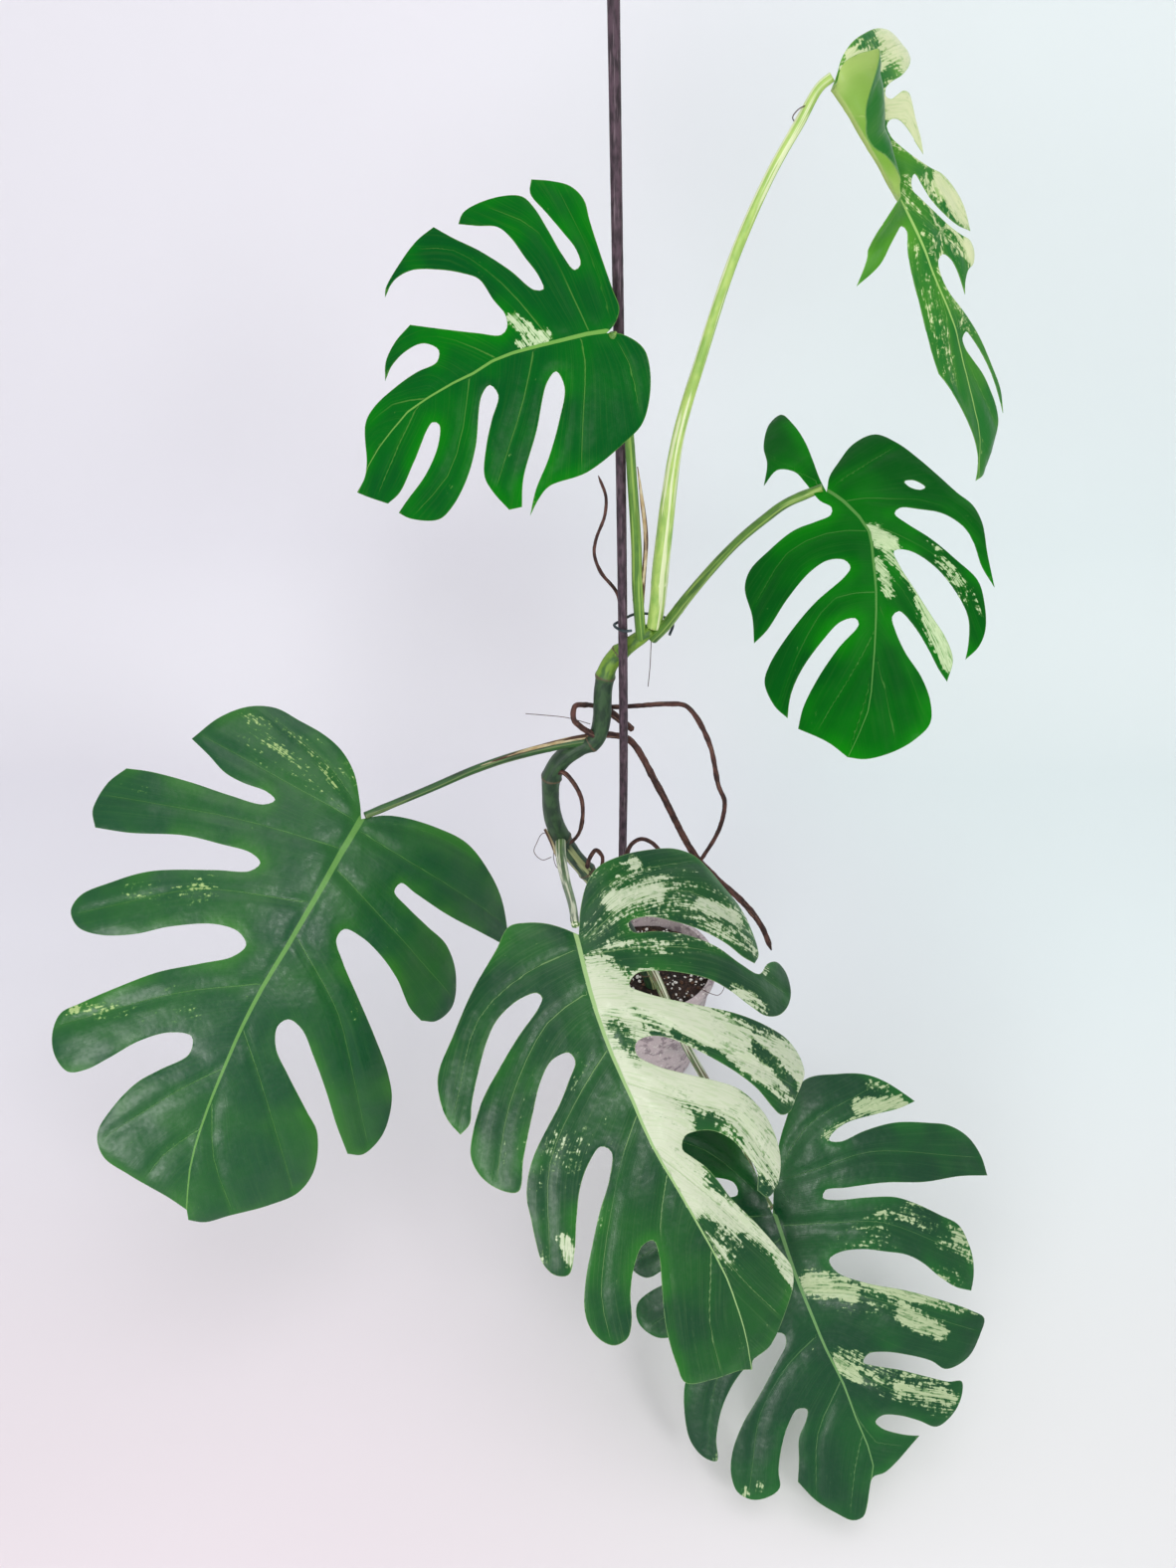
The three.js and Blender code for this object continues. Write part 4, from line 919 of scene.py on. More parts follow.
            (-36, 60, -38, 78, 10, 0.9), (-40, 104, -56, 136, 10, 0.8), (-26, 92, -34, 110, 6, 0.5),
            (-12, 92, -40, 146, 15, 0.38), (-46, 148, -46, 160, 7, 0.95), (8, 120, 15, 215, 9, 0.34),
            (-5, 110, -14, 200, 8, 0.34), (-8, 60, -30, 62, 8, 0.34)
        ],
    },
    "leaf_middle_right": {
        "junction": (105, -50, 733), "heading": -93, "pitch": 22, "roll": 20, "arch": 20,
        "droop": (30, 25), "length": 212, "half": 90,
        "look": ((0, 78, 16), (8, 124, 2), (84, 136, 66), (190, 210, 166)),
        "rib": 1.5, "gloss": 0.06, "under": ((96, 146, 84), (150, 186, 112)),
        "edge": [
            (-1, 4, 1), (-4, -9), (-11, -21), (-23, -38), (-39, -46), (-55, -36), (-70, -20), (-84, -4),
            (-96, 9), (-107, 18), (-113, 33), (-114, 62), (-116, 90, 1), (-108, 74), (-104, 54),
            (-98, 41), (-84, 31), (-66, 28), (-52, 27), (-48, 32), (-56, 41), (-72, 54), (-89, 71),
            (-103, 86), (-106, 104), (-104, 126), (-97, 140), (-86, 150, 1), (-90, 136), (-92, 117),
            (-85, 97), (-72, 77), (-55, 64), (-45, 64), (-48, 77), (-56, 95), (-66, 117), (-74, 134),
            (-77, 150), (-71, 166, 1), (-66, 156), (-61, 142), (-53, 124), (-44, 112), (-39, 116),
            (-40, 126), (-45, 143), (-54, 162), (-58, 180), (-56, 195), (-45, 205), (-30, 212),
            (-11, 215), (1, 212, 1), (13, 200), (33, 187, 1), (28, 173), (15, 153), (-1, 134), (-16, 119),
            (-14, 114), (-4, 115), (10, 127), (27, 146), (36, 162), (40, 178, 1), (49, 167), (55, 148),
            (50, 136), (35, 118), (13, 97), (-9, 81), (-14, 74), (-10, 67), (1, 65), (14, 71), (33, 89),
            (50, 109), (61, 116, 1), (61, 95), (66, 68), (61, 55), (45, 44), (25, 33), (8, 30), (-3, 27),
            (-4, 20), (4, 12), (14, -8, 1), (22, -22), (36, -30), (47, -19, 1), (44, -40), (47, -62),
            (42, -86), (33, -92), (22, -74), (13, -50), (8, -30), (3, -8)
        ],
        "holes": [[(-56, 2), (-61, 8), (-68, 10), (-72, 7), (-64, 1)]],
        "midrib": [
            (-1, 2), (-13, 16), (-23, 32), (-29, 46), (-30, 71), (-30, 95), (-27, 124), (-22, 156),
            (-16, 183), (0, 211)
        ],
        "right": [
            [(0, 0), (14, -25), (36, -70)], [(-29, 46), (1, 42), (31, 51), (58, 85)],
            [(-29, 96), (-2, 96), (29, 135), (44, 165)], [(-27, 124), (-12, 150), (15, 185)],
            [(-22, 156), (-10, 185), (0, 208)]
        ],
        "left": [
            [(-2, 4), (-25, -10), (-50, -30)], [(-13, 16), (-49, 18), (-84, 24), (-112, 60)],
            [(-24, 36), (-54, 54), (-85, 80), (-98, 125)], [(-30, 71), (-47, 94), (-65, 140), (-70, 158)],
            [(-29, 100), (-40, 135), (-52, 185)], [(-25, 140), (-30, 175), (-32, 208)]
        ],
        "patches": [
            (-30, 48, -42, 57, 8, 0.9), (-33, 72, -39, 98, 5, 0.62), (-40, 60, -64, 110, 8, 0.5),
            (-60, 100, -76, 155, 8, 0.6), (-70, 56, -98, 110, 7, 0.32)
        ],
    },
    "leaf_front": {
        "junction": (-78, -218, 445), "heading": -60, "pitch": 32.3, "roll": 5, "arch": 25,
        "droop": (40, 30), "length": 375, "half": 180,
        "look": ((4, 62, 30), (30, 106, 22), (144, 178, 116), (195, 203, 178)),
        "rib": 2.2, "gloss": 0.33, "under": ((100, 140, 88), (160, 190, 126)),
        "edge": [
            (0, 8, 1), (8, 0), (20, -10), (34, -17), (48, -20), (65, -7), (94, 14), (120, 38), (143, 61),
            (149, 77), (150, 96), (145, 111, 1), (135, 106), (128, 93), (115, 74), (98, 53), (85, 42),
            (65, 35), (49, 36), (47, 41), (53, 47), (75, 60), (99, 77), (119, 93), (136, 114), (144, 130),
            (142, 148), (131, 163), (120, 168), (107, 146), (88, 118), (73, 98), (59, 87), (45, 87),
            (43, 95), (53, 106), (66, 119), (82, 132), (98, 146), (109, 160), (116, 175), (119, 192),
            (122, 210), (123, 226), (118, 238), (108, 242), (98, 228), (87, 204), (75, 182), (62, 168),
            (50, 161), (44, 168), (53, 186), (69, 206), (83, 227), (97, 250), (106, 272), (107, 288),
            (102, 301), (94, 308), (83, 306), (76, 295), (69, 273), (60, 256), (48, 243), (39, 243),
            (39, 256), (45, 278), (53, 310), (55, 342), (53, 360), (34, 367), (9, 372), (0, 377, 1),
            (-3, 370), (-20, 367), (-44, 348), (-57, 334), (-61, 321), (-54, 298), (-44, 272), (-31, 243),
            (-26, 226), (-21, 212), (-13, 199), (-8, 190), (-14, 182), (-34, 187), (-48, 200), (-56, 216),
            (-61, 236), (-55, 249, 1), (-62, 259), (-73, 256), (-83, 246), (-89, 232), (-90, 211),
            (-86, 194), (-74, 172), (-56, 156), (-34, 140), (-14, 124), (-3, 110), (-6, 102), (-16, 101),
            (-31, 108), (-46, 122), (-63, 141), (-79, 161), (-91, 180), (-98, 198, 1), (-104, 209),
            (-116, 212), (-128, 206), (-140, 201), (-152, 194), (-154, 180), (-147, 161), (-127, 139),
            (-100, 117), (-67, 96), (-44, 81), (-27, 68), (-20, 60), (-29, 54), (-46, 58), (-70, 70),
            (-91, 84), (-106, 100), (-120, 119), (-133, 133), (-151, 139), (-171, 136), (-184, 127),
            (-189, 112), (-182, 99), (-165, 95), (-147, 99), (-130, 84), (-112, 62), (-88, 43), (-62, 30),
            (-42, 23), (-42, 15), (-59, 16), (-81, 28), (-104, 44), (-124, 63), (-136, 79), (-147, 89, 1),
            (-158, 84), (-164, 62), (-163, 39), (-154, 17), (-145, -4), (-136, -18), (-118, -29),
            (-92, -35), (-63, -38), (-39, -36), (-24, -27), (-9, -9)
        ],
        "midrib": [
            (2, 6), (8, 35), (13, 68), (15, 104), (14, 141), (13, 177), (7, 217), (1, 256), (-4, 295),
            (-4, 340), (0, 374)
        ],
        "right": [
            [(10, 18), (50, 19), (98, 36), (140, 90)], [(17, 52), (51, 60), (101, 104), (130, 150)],
            [(18, 98), (46, 116), (90, 157), (115, 220)], [(14, 150), (45, 185), (90, 265), (95, 295)],
            [(10, 200), (30, 235), (50, 320)], [(0, 270), (20, 320), (25, 362)]
        ],
        "left": [
            [(-4, 0), (-32, -16), (-58, -21), (-120, -15)], [(-2, 14), (-50, 0), (-110, 10), (-150, 50)],
            [(2, 25), (-35, 34), (-107, 65), (-160, 112)], [(10, 72), (-27, 96), (-86, 152), (-130, 195)],
            [(14, 125), (-20, 155), (-60, 190), (-75, 240)], [(12, 185), (-10, 225), (-45, 290)],
            [(4, 240), (-15, 300), (-35, 345)]
        ],
        "patches": [
            (4, 52, 4, 210, 24, 1.0), (-30, 72, -60, 108, 18, 1.0), (-60, 112, -140, 190, 26, 0.74),
            (-25, 130, -60, 165, 22, 1.0), (-60, 165, -82, 235, 24, 0.68), (-12, 170, 0, 228, 14, 0.95),
            (-132, 196, -104, 150, 6, -0.5), (-98, 196, -64, 140, 6, -0.5), (-66, 140, -40, 108, 4, -0.4),
            (5, 80, -4, 108, 9, -0.6), (-60, 92, -110, 120, 5, -0.2), (-80, 0, -35, -6, 9, 0.7),
            (-145, 45, -118, 25, 10, 0.66), (-160, 95, -145, 50, 8, 0.5), (-60, -10, -150, 60, 34, 0.36),
            (-72, -30, -70, -28, 7, 0.6), (-57, 42, -20, 26, 8, 0.4), (-130, 125, -110, 100, 9, 0.45),
            (-10, 10, -50, 10, 14, 0.3), (-59, 335, -52, 295, 7, 0.62), (-52, 295, -34, 262, 9, 0.66),
            (-34, 262, -7, 230, 11, 0.74), (-39, 231, -2, 285, 18, 0.36), (100, 235, 103, 212, 6, 0.6),
            (60, 120, 110, 200, 40, 0.16)
        ],
    },
    "leaf_lower_right": {
        "junction": (86, -324, 211), "heading": -69.5, "pitch": 38.8, "roll": 15, "arch": 10,
        "droop": (25, 25), "length": 262, "half": 150,
        "look": ((4, 60, 32), (18, 96, 30), (96, 140, 82), (178, 192, 152)),
        "rib": 2.0, "gloss": 0.33, "under": ((96, 136, 84), (150, 182, 118)),
        "edge": [
            (0, 5, 1), (6, -38), (20, -74), (46, -98), (80, -103), (106, -84), (110, -62), (85, -47),
            (50, -40), (24, -28), (24, -18), (60, -24), (100, -16), (126, 0), (133, 18), (121, 31),
            (90, 22), (50, 14), (28, 16), (26, 25), (50, 30), (85, 36), (118, 42), (136, 52), (139, 68),
            (125, 82), (95, 80), (60, 66), (34, 58), (27, 66), (40, 78), (70, 92), (96, 104), (112, 122),
            (121, 151), (122, 172), (115, 186), (104, 191), (99, 172), (87, 148), (70, 128), (50, 113),
            (28, 97), (19, 100), (20, 108), (32, 121), (53, 143), (73, 163), (88, 184), (95, 203),
            (94, 219), (84, 227), (70, 227), (58, 221), (55, 207), (47, 188), (37, 172), (26, 161),
            (18, 163), (21, 171), (31, 184), (36, 201), (42, 219, 1), (32, 237), (19, 251), (7, 261),
            (-2, 261), (-8, 253), (-13, 242), (-19, 232), (-30, 231), (-42, 226), (-57, 218),
            (-67, 213, 1), (-58, 209), (-49, 204), (-38, 196), (-34, 189), (-41, 186), (-55, 191),
            (-70, 201), (-84, 212), (-102, 208), (-114, 198), (-118, 187), (-106, 182), (-86, 169),
            (-66, 156), (-47, 146), (-38, 140), (-44, 135), (-58, 138), (-78, 148), (-96, 160),
            (-106, 171), (-120, 173), (-134, 170), (-149, 159), (-158, 149), (-147, 137), (-125, 120),
            (-92, 98), (-59, 80), (-38, 64), (-35, 53), (-46, 50), (-66, 54), (-84, 62), (-102, 71),
            (-114, 82), (-127, 100), (-139, 113), (-153, 122, 1), (-160, 112), (-165, 98), (-165, 83),
            (-161, 67), (-144, 51), (-124, 34), (-107, 23), (-81, 15), (-55, 9), (-45, 4), (-49, -1),
            (-66, 2), (-102, 9), (-140, 21), (-178, 29), (-211, 40, 1), (-211, 22), (-203, 2),
            (-185, -15), (-164, -24), (-129, -35), (-99, -37), (-74, -35), (-65, -39), (-71, -44),
            (-85, -48), (-113, -47), (-138, -45), (-156, -46, 1), (-148, -55), (-132, -71), (-115, -82),
            (-91, -89), (-59, -92), (-33, -64), (-15, -35)
        ],
        "midrib": [
            (-2, 7), (-4, 55), (-8, 95), (-11, 120), (-17, 152), (-19, 180), (-22, 204), (-22, 222),
            (-5, 258)
        ],
        "right": [
            [(-1, -2), (40, -60), (85, -85)], [(0, 5), (50, -2), (115, 12)],
            [(-1, 25), (50, 42), (120, 68)], [(-4, 60), (40, 85), (85, 125), (108, 180)],
            [(-3, 110), (23, 124), (56, 157), (80, 210)], [(-14, 150), (15, 185), (28, 225)],
            [(-20, 195), (-6, 220), (2, 240)]
        ],
        "left": [
            [(-8, -18), (-50, -55), (-110, -68)], [(-11, -20), (-50, -20), (-98, -19), (-190, 15)],
            [(-3, 15), (-52, 27), (-91, 40), (-150, 85)], [(-9, 73), (-47, 86), (-84, 110), (-140, 150)],
            [(-14, 125), (-50, 165), (-100, 195)], [(-18, 170), (-30, 205), (-50, 215)]
        ],
        "patches": [
            (-138, -48, -100, -58, 9, 0.66), (-100, -50, -65, -46, 8, 0.46),
            (-130, -65, -115, -73, 6, 0.4), (-165, 70, -120, 40, 14, 0.38), (-165, 98, -135, 75, 8, 0.38),
            (-115, 45, -90, 32, 6, 0.36), (-134, 118, -124, 102, 8, 0.56), (-14, 66, -45, 84, 10, 0.74),
            (-60, 82, -150, 134, 8, 0.52), (-110, 137, -84, 115, 9, 0.58), (-102, 198, -62, 173, 9, 0.55),
            (-95, 185, -20, 135, 16, 0.38), (-28, 148, -16, 133, 8, 0.56), (-140, 60, -40, 40, 16, 0.2),
            (-130, 110, -30, 80, 22, 0.3), (95, 178, 108, 195, 6, 0.4), (75, 215, 85, 222, 6, 0.4)
        ],
    },
}
CELL = 2.6
RIM_STEP = 3.0
VEIN_STEP = 16
THICKEST = 3.4
SHEET_THICKNESS = 0.62
RIM_THICKNESS = 0.36
RIM_CURL = 1.6
VALLEY = {"beside_vein": 1.5, "beside_midrib": 1.9, "over_midrib": 0.5}
RIDGE = {"midrib": 2.5, "vein": 0.8}
VEIN_WIDTH = 1.0
SMALLEST_GAP = 6
OPEN_GAP = 80
UNDER_CREAM = (206, 214, 164)


def outline_run(edge, step):
    """The points of an outline: smooth runs from each sharp tip to the next."""
    tips = [i for i, p in enumerate(edge) if len(p) > 2] or [0]
    loop = []
    for start, end in zip(tips, [*tips[1:], tips[0] + len(edge)]):
        run = [(*edge[i % len(edge)][:2], 0) for i in range(start, end + 1)]
        loop += smooth_run(run, step)[:-1]
    return loop


def cut_across(bm, axis, step):
    """Cuts a flat sheet into strips square to one axis, working from one side to the other."""
    normal = Vector((axis == 0, axis == 1, 0))
    at = min(vert.co[axis] for vert in bm.verts) + step / 2
    end = max(vert.co[axis] for vert in bm.verts)
    faces = bm.faces[:]
    while at < end:
        around = {*faces, *(e for f in faces for e in f.edges), *(v for f in faces for v in f.verts)}
        made = bmesh.ops.bisect_plane(bm, geom=list(around), plane_co=normal * at, plane_no=normal,
                                      dist=0.05)
        faces = [f for f in made["geom"] if isinstance(f, bmesh.types.BMFace)
                 and max(v.co[axis] for v in f.verts) > at + 0.06]
        at += step


def inside(spot, loop):
    crossings = 0
    for a, b in zip(loop, loop[1:] + loop[:1]):
        if (a.y > spot.y) != (b.y > spot.y) and spot.x < a.x + (b.x - a.x) * (spot.y - a.y) / (b.y - a.y):
            crossings += 1
    return crossings % 2 == 1


def flat_blade(leaf):
    """The flat sheet inside the outline, in small even cells, less its holes."""
    bm = bmesh.new()
    loops = [outline_run(leaf["edge"], RIM_STEP)]
    sheet = bm.faces.new([bm.verts.new(p) for p in loops[0]])
    sheet.normal_update()
    if sheet.normal.z < 0:
        sheet.normal_flip()
    cut_across(bm, 0, CELL)
    cut_across(bm, 1, CELL)
    for hole in leaf.get("holes", []):
        loops.append(outline_run(hole, RIM_STEP / 3))
        gone = [face for face in bm.faces if inside(face.calc_center_median(), loops[-1])]
        near = {vert for face in gone for vert in face.verts}
        bmesh.ops.delete(bm, geom=gone, context="FACES")
        for vert in near:
            if vert.is_valid and vert.is_boundary:
                vert.co = min(loops[-1], key=lambda p: (p - vert.co).length)
    bmesh.ops.remove_doubles(bm, verts=bm.verts, dist=0.02)
    rim = KDTree(sum(len(loop) for loop in loops))
    for index, p in enumerate(p for loop in loops for p in loop):
        rim.insert(p, index)
    rim.balance()
    return bm, rim


def nearest_on(line, spot):
    """How far a spot is from a line of points, on which side of it, and how far along."""
    best = (1e9, 0, 0)
    passed = 0
    for i, (a, b) in enumerate(zip(line, line[1:])):
        run = b - a
        share = (spot - a).dot(run) / run.length_squared
        share = share if i == len(line) - 2 else min(share, 1)
        share = max(share, 0)
        off = spot - a - run * share
        if off.length < best[0]:
            best = (off.length, run.x * off.y - run.y * off.x, passed + run.length * share)
        passed += run.length
    return best


class Veins:
    """A blade's midrib and side veins, and where any spot lies among them."""

    def __init__(self, leaf):
        self.length = leaf["length"]
        self.midrib = self.line(leaf["midrib"])
        self.sides = {1: [self.line(v) for v in leaf["right"]], -1: [self.line(v) for v in leaf["left"]]}

    @staticmethod
    def line(points):
        return [Vector((p.x, p.y)) for p in smooth_run([(*p, 0) for p in points], VEIN_STEP)]

    def place(self, spot):
        """Signed distance to the midrib, place among the side veins, width of their gap, reach
        along the nearest one, distance to it, and how far along the midrib the spot lies."""
        away, turn, along = nearest_on(self.midrib, spot)
        side = 1 if turn < 0 else -1
        near = [nearest_on(vein, spot) for vein in self.sides[side]]
        index = min(range(len(near)), key=lambda i: near[i][0])
        tipward = 1 if near[index][1] * side > 0 else -1
        other = index + tipward
        gap = near[index][0] + near[other][0] if 0 <= other < len(near) else OPEN_GAP
        gap = max(gap, SMALLEST_GAP)
        off = min(near[index][0] / gap, 0.499)
        return side * away, index + tipward * off, gap, near[index][2], off * gap, along


def cream_at(patches, spot, side):
    """How much of the sheet is cream at a spot, from the patches on its side of the midrib."""
    share = 0.0
    for a, b, reach, amount, patch_side in patches:
        if patch_side * side < 0:
            continue
        run = b - a
        t = min(max((spot - a).dot(run) / max(run.length_squared, 1e-6), 0), 1)
        away = (spot - a - run * t).length
        weight = 1 - min(max((away - reach * 0.45) / (reach * 1.1), 0), 1)
        share = max(share, amount * weight) if amount > 0 else share + amount * weight
    return min(max(share, 0), 1)


def hung(leaf):
    """The place in space, in mm, of each spot of the flat sheet once the leaf hangs."""
    turn, dip, roll = (radians(leaf[key]) for key in ("heading", "pitch", "roll"))
    along = Vector((cos(dip) * cos(turn), cos(dip) * sin(turn), -sin(dip)))
    level = Vector((sin(turn), -cos(turn), 0))
    upright = level.cross(along)
    across = level * cos(roll) - upright * sin(roll)
    face = level * sin(roll) + upright * cos(roll)
    junction = Vector(leaf["junction"])
    lean = radians(leaf["arch"]) / leaf["length"]

    def arc(bend, distance):
        return sin(bend * distance) / bend, (1 - cos(bend * distance)) / bend

    def place(x, y):
        side = x > 0
        fold = 0
        droop = leaf["droop"][side]
        if "fold" in leaf:
            fold = radians(spread(leaf["fold"][side], y / leaf["length"]))
            droop = spread(droop, y / leaf["length"])
        run, fall = arc(lean, y)
        flat, bow = arc(radians(droop) / leaf["half"], abs(x))
        reach = flat * cos(fold) - bow * sin(fold)
        sag = flat * sin(fold) + bow * cos(fold)
        twist = radians(leaf.get("twist", 0)) * y / leaf["length"]
        out = reach if side else -reach
        aside = out * cos(twist) - sag * sin(twist)
        lift = -out * sin(twist) - sag * cos(twist)
        tilt = lean * y
        return (junction + along * (run + lift * sin(tilt)) + face * (-fall + lift * cos(tilt))
                + across * aside)

    return place


def blade_mesh(leaf, seed):
    """The hanging blade, one sheet thick, with its pattern's coordinates on each point."""
    bm, rim = flat_blade(leaf)
    veins = Veins(leaf)
    place = hung(leaf)
    lobes = bm.verts.layers.float_vector.new("lobes")
    marks = bm.verts.layers.float_vector.new("marks")
    weight = bm.verts.layers.deform.verify()
    patches = []
    for x0, y0, x1, y1, reach, amount in leaf["patches"]:
        a, b = Vector((x0, y0)), Vector((x1, y1))
        patches.append((a, b, reach, amount, veins.place((a + b) / 2)[0]))
    for edge in bm.edges:
        edge.smooth = not edge.is_boundary
    for vert in bm.verts:
        x, y = vert.co.x, vert.co.y
        spot = Vector((x, y))
        rib, order, gap, reach, off, along = veins.place(spot)
        to_rim = 0.0 if vert.is_boundary else rim.find(vert.co)[2]
        taper = 1 - 0.75 * min(max(along / leaf["length"], 0), 1)
        rib_width = leaf["rib"] * taper ** 1.3
        vein_width = VEIN_WIDTH * (0.35 + 0.65 * exp(-reach / 60))
        inner = 1 - exp(-(to_rim / 5) ** 2)
        valley = (VALLEY["beside_vein"] * exp(-(off / 5.5) ** 2) * inner * min(1, abs(rib) / 8)
                  + VALLEY["beside_midrib"] * taper * exp(-(rib / 6) ** 2)
                  - VALLEY["over_midrib"] * taper * exp(-(rib / 2.4) ** 2))
        curl = RIM_CURL * exp(-to_rim / 7)
        wave = (noise.noise(Vector((x, y, seed * 31)) / 46) * 2.2
                + noise.noise(Vector((x, y, seed * 17)) / 17) * 0.5)
        ridge = (RIDGE["midrib"] * taper * exp(-(rib / (0.7 + 0.9 * rib_width)) ** 2)
                 + RIDGE["vein"] * vein_width * exp(-(off / 1.6) ** 2) * inner)
        body = RIM_THICKNESS + (SHEET_THICKNESS - RIM_THICKNESS) * inner
        tangent = place(x + 0.5, y) - place(x - 0.5, y)
        normal = tangent.cross(place(x, y + 0.5) - place(x, y - 0.5)).normalized()
        here = place(x, y) + normal * (SHEET_THICKNESS / 2 + wave * inner - valley - curl)
        vert[lobes] = (order, gap / vein_width, reach / 100)
        vert[marks] = (rib / rib_width, to_rim, cream_at(patches, spot, rib))
        vert[weight][0] = min((body + ridge) / THICKEST, 1)
        vert.co = here * MM
    return bm


# The pattern of a blade, the same on both sides, from the coordinates that its points carry.
# Three layers of noise, broad streaks, thin streaks and flecks, are weighed into one marbling.
STREAKS = {"broad": (4.5, 1.9, 2.0), "thin": (34, 5.0, 3.0), "lines": (46, 1.4, 1.0)}
FLECK_SCALE = 300
CLOUD_SCALE = 16
WEIGHTS = {"broad": 0.38, "thin": 0.28, "fleck": 0.34}
ALL_GREEN_LEVEL = 0.68
CREAM_SHIFT = -0.40
pattern, pattern_in, pattern_out = new_group(
    "marbled_blade",
    [("Green", "NodeSocketColor"), ("Fresh", "NodeSocketColor"), ("Rib", "NodeSocketColor"),
     ("Cream", "NodeSocketColor"), ("Lobes", "NodeSocketVector"), ("Marks", "NodeSocketVector"),
     ("Place", "NodeSocketVector")],
    [("Color", "NodeSocketColor"), ("Roughness", "NodeSocketFloat"), ("Height", "NodeSocketFloat")])


def streaks(tree, where, across, along, detail):
    """Noise drawn out in streaks that run beside the side veins."""
    placed = put(tree, "ShaderNodeMapping", {"Vector": where, "Scale": (across, along, 1)}).outputs[0]
    return speckle(tree, placed, 1.0, detail)


def sloped(tree, value, slope, start):
    made = maths(tree, "MULTIPLY_ADD", value, slope)
    made.node.inputs[2].default_value = start
    return made


def weighed(tree, *parts):
    """The sum of some values, each times its weight."""
    total = times(tree, *parts[0])
    for value, weight in parts[1:]:
        total = maths(tree, "ADD", total, times(tree, value, weight))
    return total


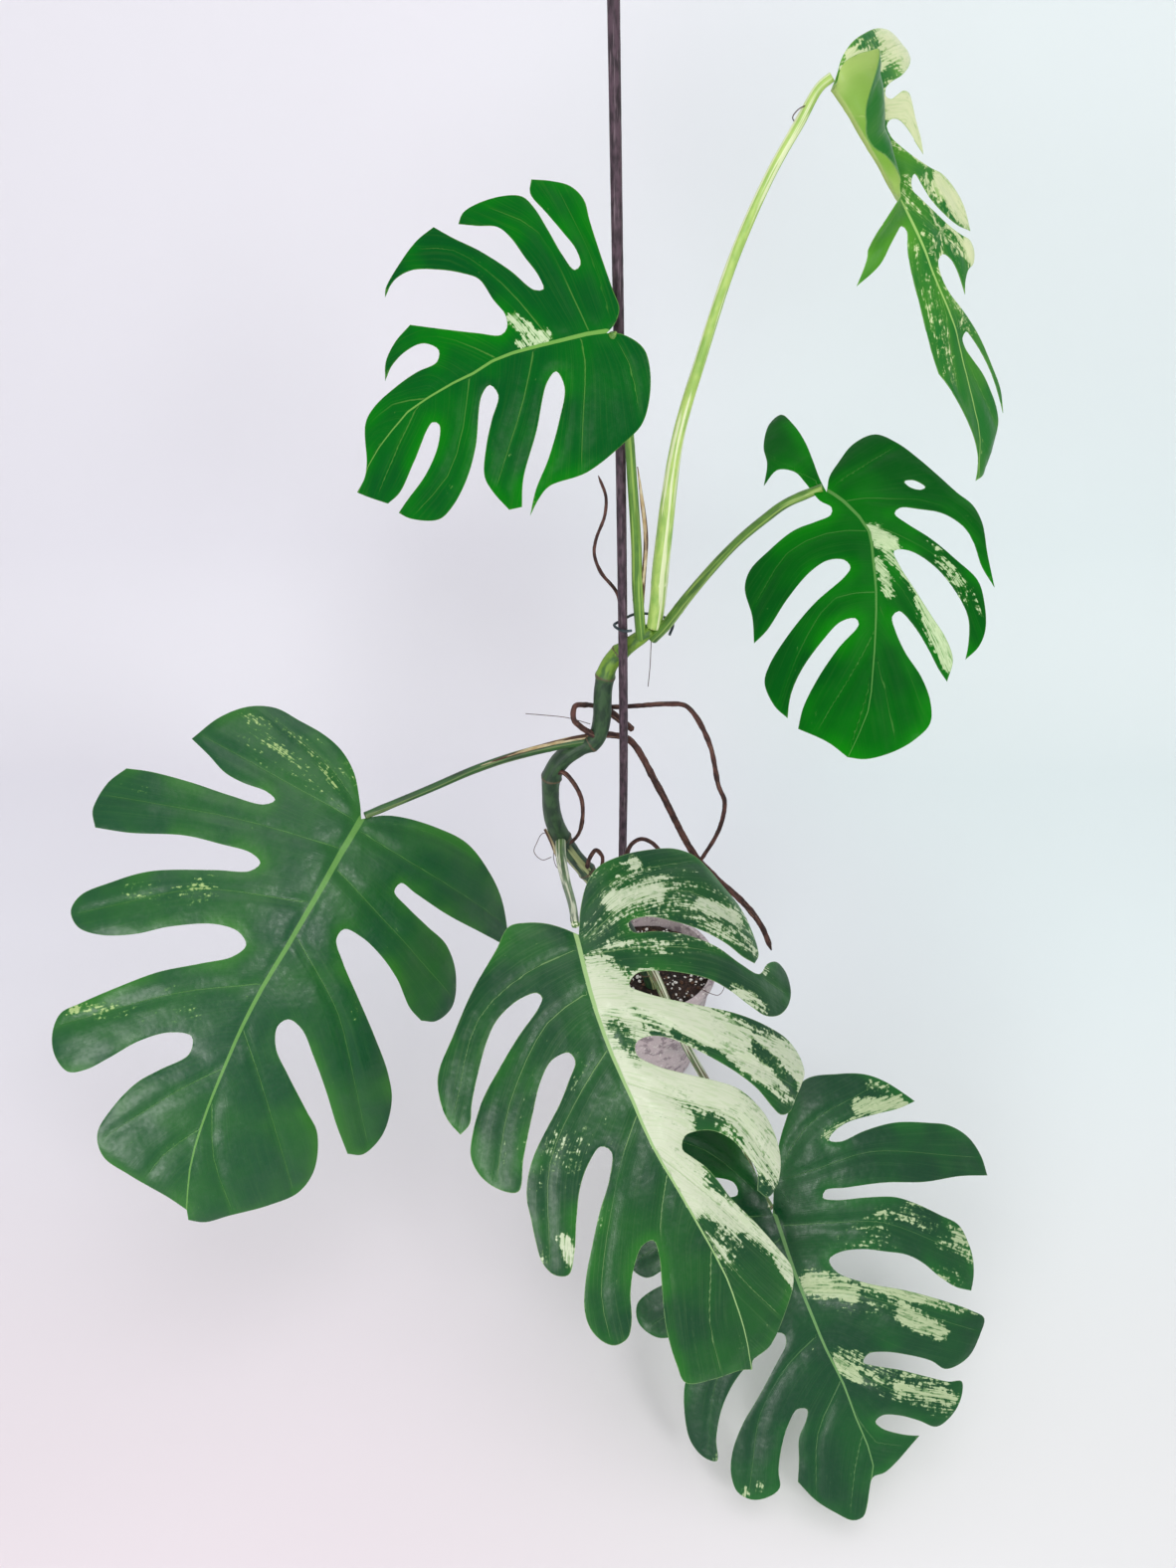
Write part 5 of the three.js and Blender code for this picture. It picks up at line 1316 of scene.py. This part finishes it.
def build_pattern(tree, given, out):
    green, fresh, rib_colour, cream = (given[name] for name in ("Green", "Fresh", "Rib", "Cream"))
    here = given["Place"]
    # Lobes: order of the nearest vein, width of its gap, reach along it
    lobes = put(tree, "ShaderNodeSeparateXYZ", {0: given["Lobes"]}).outputs
    # Marks: distance to the midrib in its widths, to the rim in mm, share of cream
    marks = put(tree, "ShaderNodeSeparateXYZ", {0: given["Marks"]}).outputs
    whole = maths(tree, "ROUND", lobes["X"])
    off = times(tree, maths(tree, "ABSOLUTE", maths(tree, "SUBTRACT", lobes["X"], whole)), lobes["Y"])
    from_rib = maths(tree, "ABSOLUTE", marks["X"])
    vein = times(tree, eased(tree, off, 0.75, 0.25), eased(tree, from_rib, 0.9, 1.8))
    vein = times(tree, vein, eased(tree, marks["Y"], 3.0, 14.0))
    midrib = eased(tree, from_rib, 1.0, 0.66)
    halo = eased(tree, off, 9.0, 1.0)

    # The marbling, cream wherever the noise stands above the level that the patches set
    placed = put(tree, "ShaderNodeCombineXYZ", {0: lobes["X"], 1: lobes["Z"], 2: 0.0}).outputs[0]
    broad, thin, lines = (streaks(tree, placed, *STREAKS[name]) for name in ("broad", "thin", "lines"))
    fleck = speckle(tree, here, FLECK_SCALE, 4.0)
    cloud = speckle(tree, here, CLOUD_SCALE, 2.0)
    marbling = weighed(tree, (broad, WEIGHTS["broad"]), (thin, WEIGHTS["thin"]), (fleck, WEIGHTS["fleck"]))
    level = sloped(tree, marks["Z"], CREAM_SHIFT, ALL_GREEN_LEVEL)
    excess = maths(tree, "SUBTRACT", marbling, level)
    is_cream = eased(tree, excess, -0.008, 0.012)

    # The green sheet: paler in clouds, at the rim, beside the veins and next to the cream
    paler = mixed(tree, 0.35, green, fresh)
    sheet = mixed(tree, eased(tree, cloud, 0.35, 0.68), green, paler)
    rim = times(tree, eased(tree, marks["Y"], 13.0, 0.0), eased(tree, cloud, 0.40, 0.66))
    for share, strength, colour in ((rim, 0.7, fresh), (eased(tree, lines, 0.5, 0.7), 0.05, rib_colour),
                                    (halo, 0.12, fresh), (eased(tree, excess, -0.05, 0.0), 0.45, rib_colour)):
        sheet = mixed(tree, times(tree, share, strength), sheet, colour)

    # The cream, washed with green in thin streaks and striped near its edge
    washed = mixed(tree, 0.45, cream, rib_colour)
    pale = mixed(tree, times(tree, eased(tree, thin, 0.48, 0.60), 0.6), cream, washed)
    stripes = times(tree, eased(tree, thin, 0.52, 0.42), eased(tree, excess, 0.16, 0.02))
    pale = mixed(tree, times(tree, stripes, 0.75), pale, mixed(tree, 0.6, rib_colour, fresh))

    # Veins, midrib and the thin pale edge lie over both
    blade = mixed(tree, is_cream, sheet, pale)
    edge = eased(tree, marks["Y"], 0.9, 0.2)
    for share in (times(tree, vein, 0.42), midrib, times(tree, edge, 0.4)):
        blade = mixed(tree, share, blade, rib_colour)
    tree.links.new(blade, out["Color"])
    rough = sloped(tree, eased(tree, fleck, 0.3, 0.75), 0.14, 0.28)
    tree.links.new(maths(tree, "ADD", rough, times(tree, midrib, 0.12)), out["Roughness"])
    pucker = maths(tree, "ADD", speckle(tree, here, 62, 2.0), times(tree, speckle(tree, here, 150, 1.0), 0.3))
    height = weighed(tree, (lines, 0.25), (fleck, 0.12), (pucker, 3.0))
    tree.links.new(maths(tree, "SUBTRACT", height, times(tree, vein, 0.8)), out["Height"])


build_pattern(pattern, pattern_in, pattern_out)


def blade_look(green, fresh, rib, cream):
    def build(tree):
        made = put(tree, "ShaderNodeGroup", node_tree=pattern)
        for name, colour in (("Green", green), ("Fresh", fresh), ("Rib", rib), ("Cream", cream)):
            made.inputs[name].default_value = tint(*colour)
        for name, layer in (("Lobes", "lobes"), ("Marks", "marks")):
            source = put(tree, "ShaderNodeAttribute", attribute_name=layer).outputs["Vector"]
            tree.links.new(source, made.inputs[name])
        tree.links.new(object_place(tree), made.inputs["Place"])
        return {"colour": made.outputs["Color"], "roughness": made.outputs["Roughness"],
                "height": made.outputs["Height"]}
    return build


for seed, (node, leaf) in enumerate(LEAVES.items()):
    upper = finish(f"{node}_upper", blade_look(*leaf["look"]), 0.38, 0.25 * MM,
                   Specular_IOR_Level=leaf["gloss"])
    base, rib = leaf["under"]
    under = finish(f"{node}_under", blade_look(base, rib, rib, UNDER_CREAM), 0.6, 0.15 * MM,
                   Specular_IOR_Level=0.2)
    blade = object_from(node.replace("leaf", "blade"), blade_mesh(leaf, seed), upper, under)
    blade.vertex_groups.new(name="thickness")
    skin = blade.modifiers.new("skin", "SOLIDIFY")
    skin.thickness = THICKEST * MM
    skin.offset = -1
    skin.vertex_group = "thickness"
    skin.material_offset = 1
    skin.use_even_offset = False
    carried(blade, "blade", node)
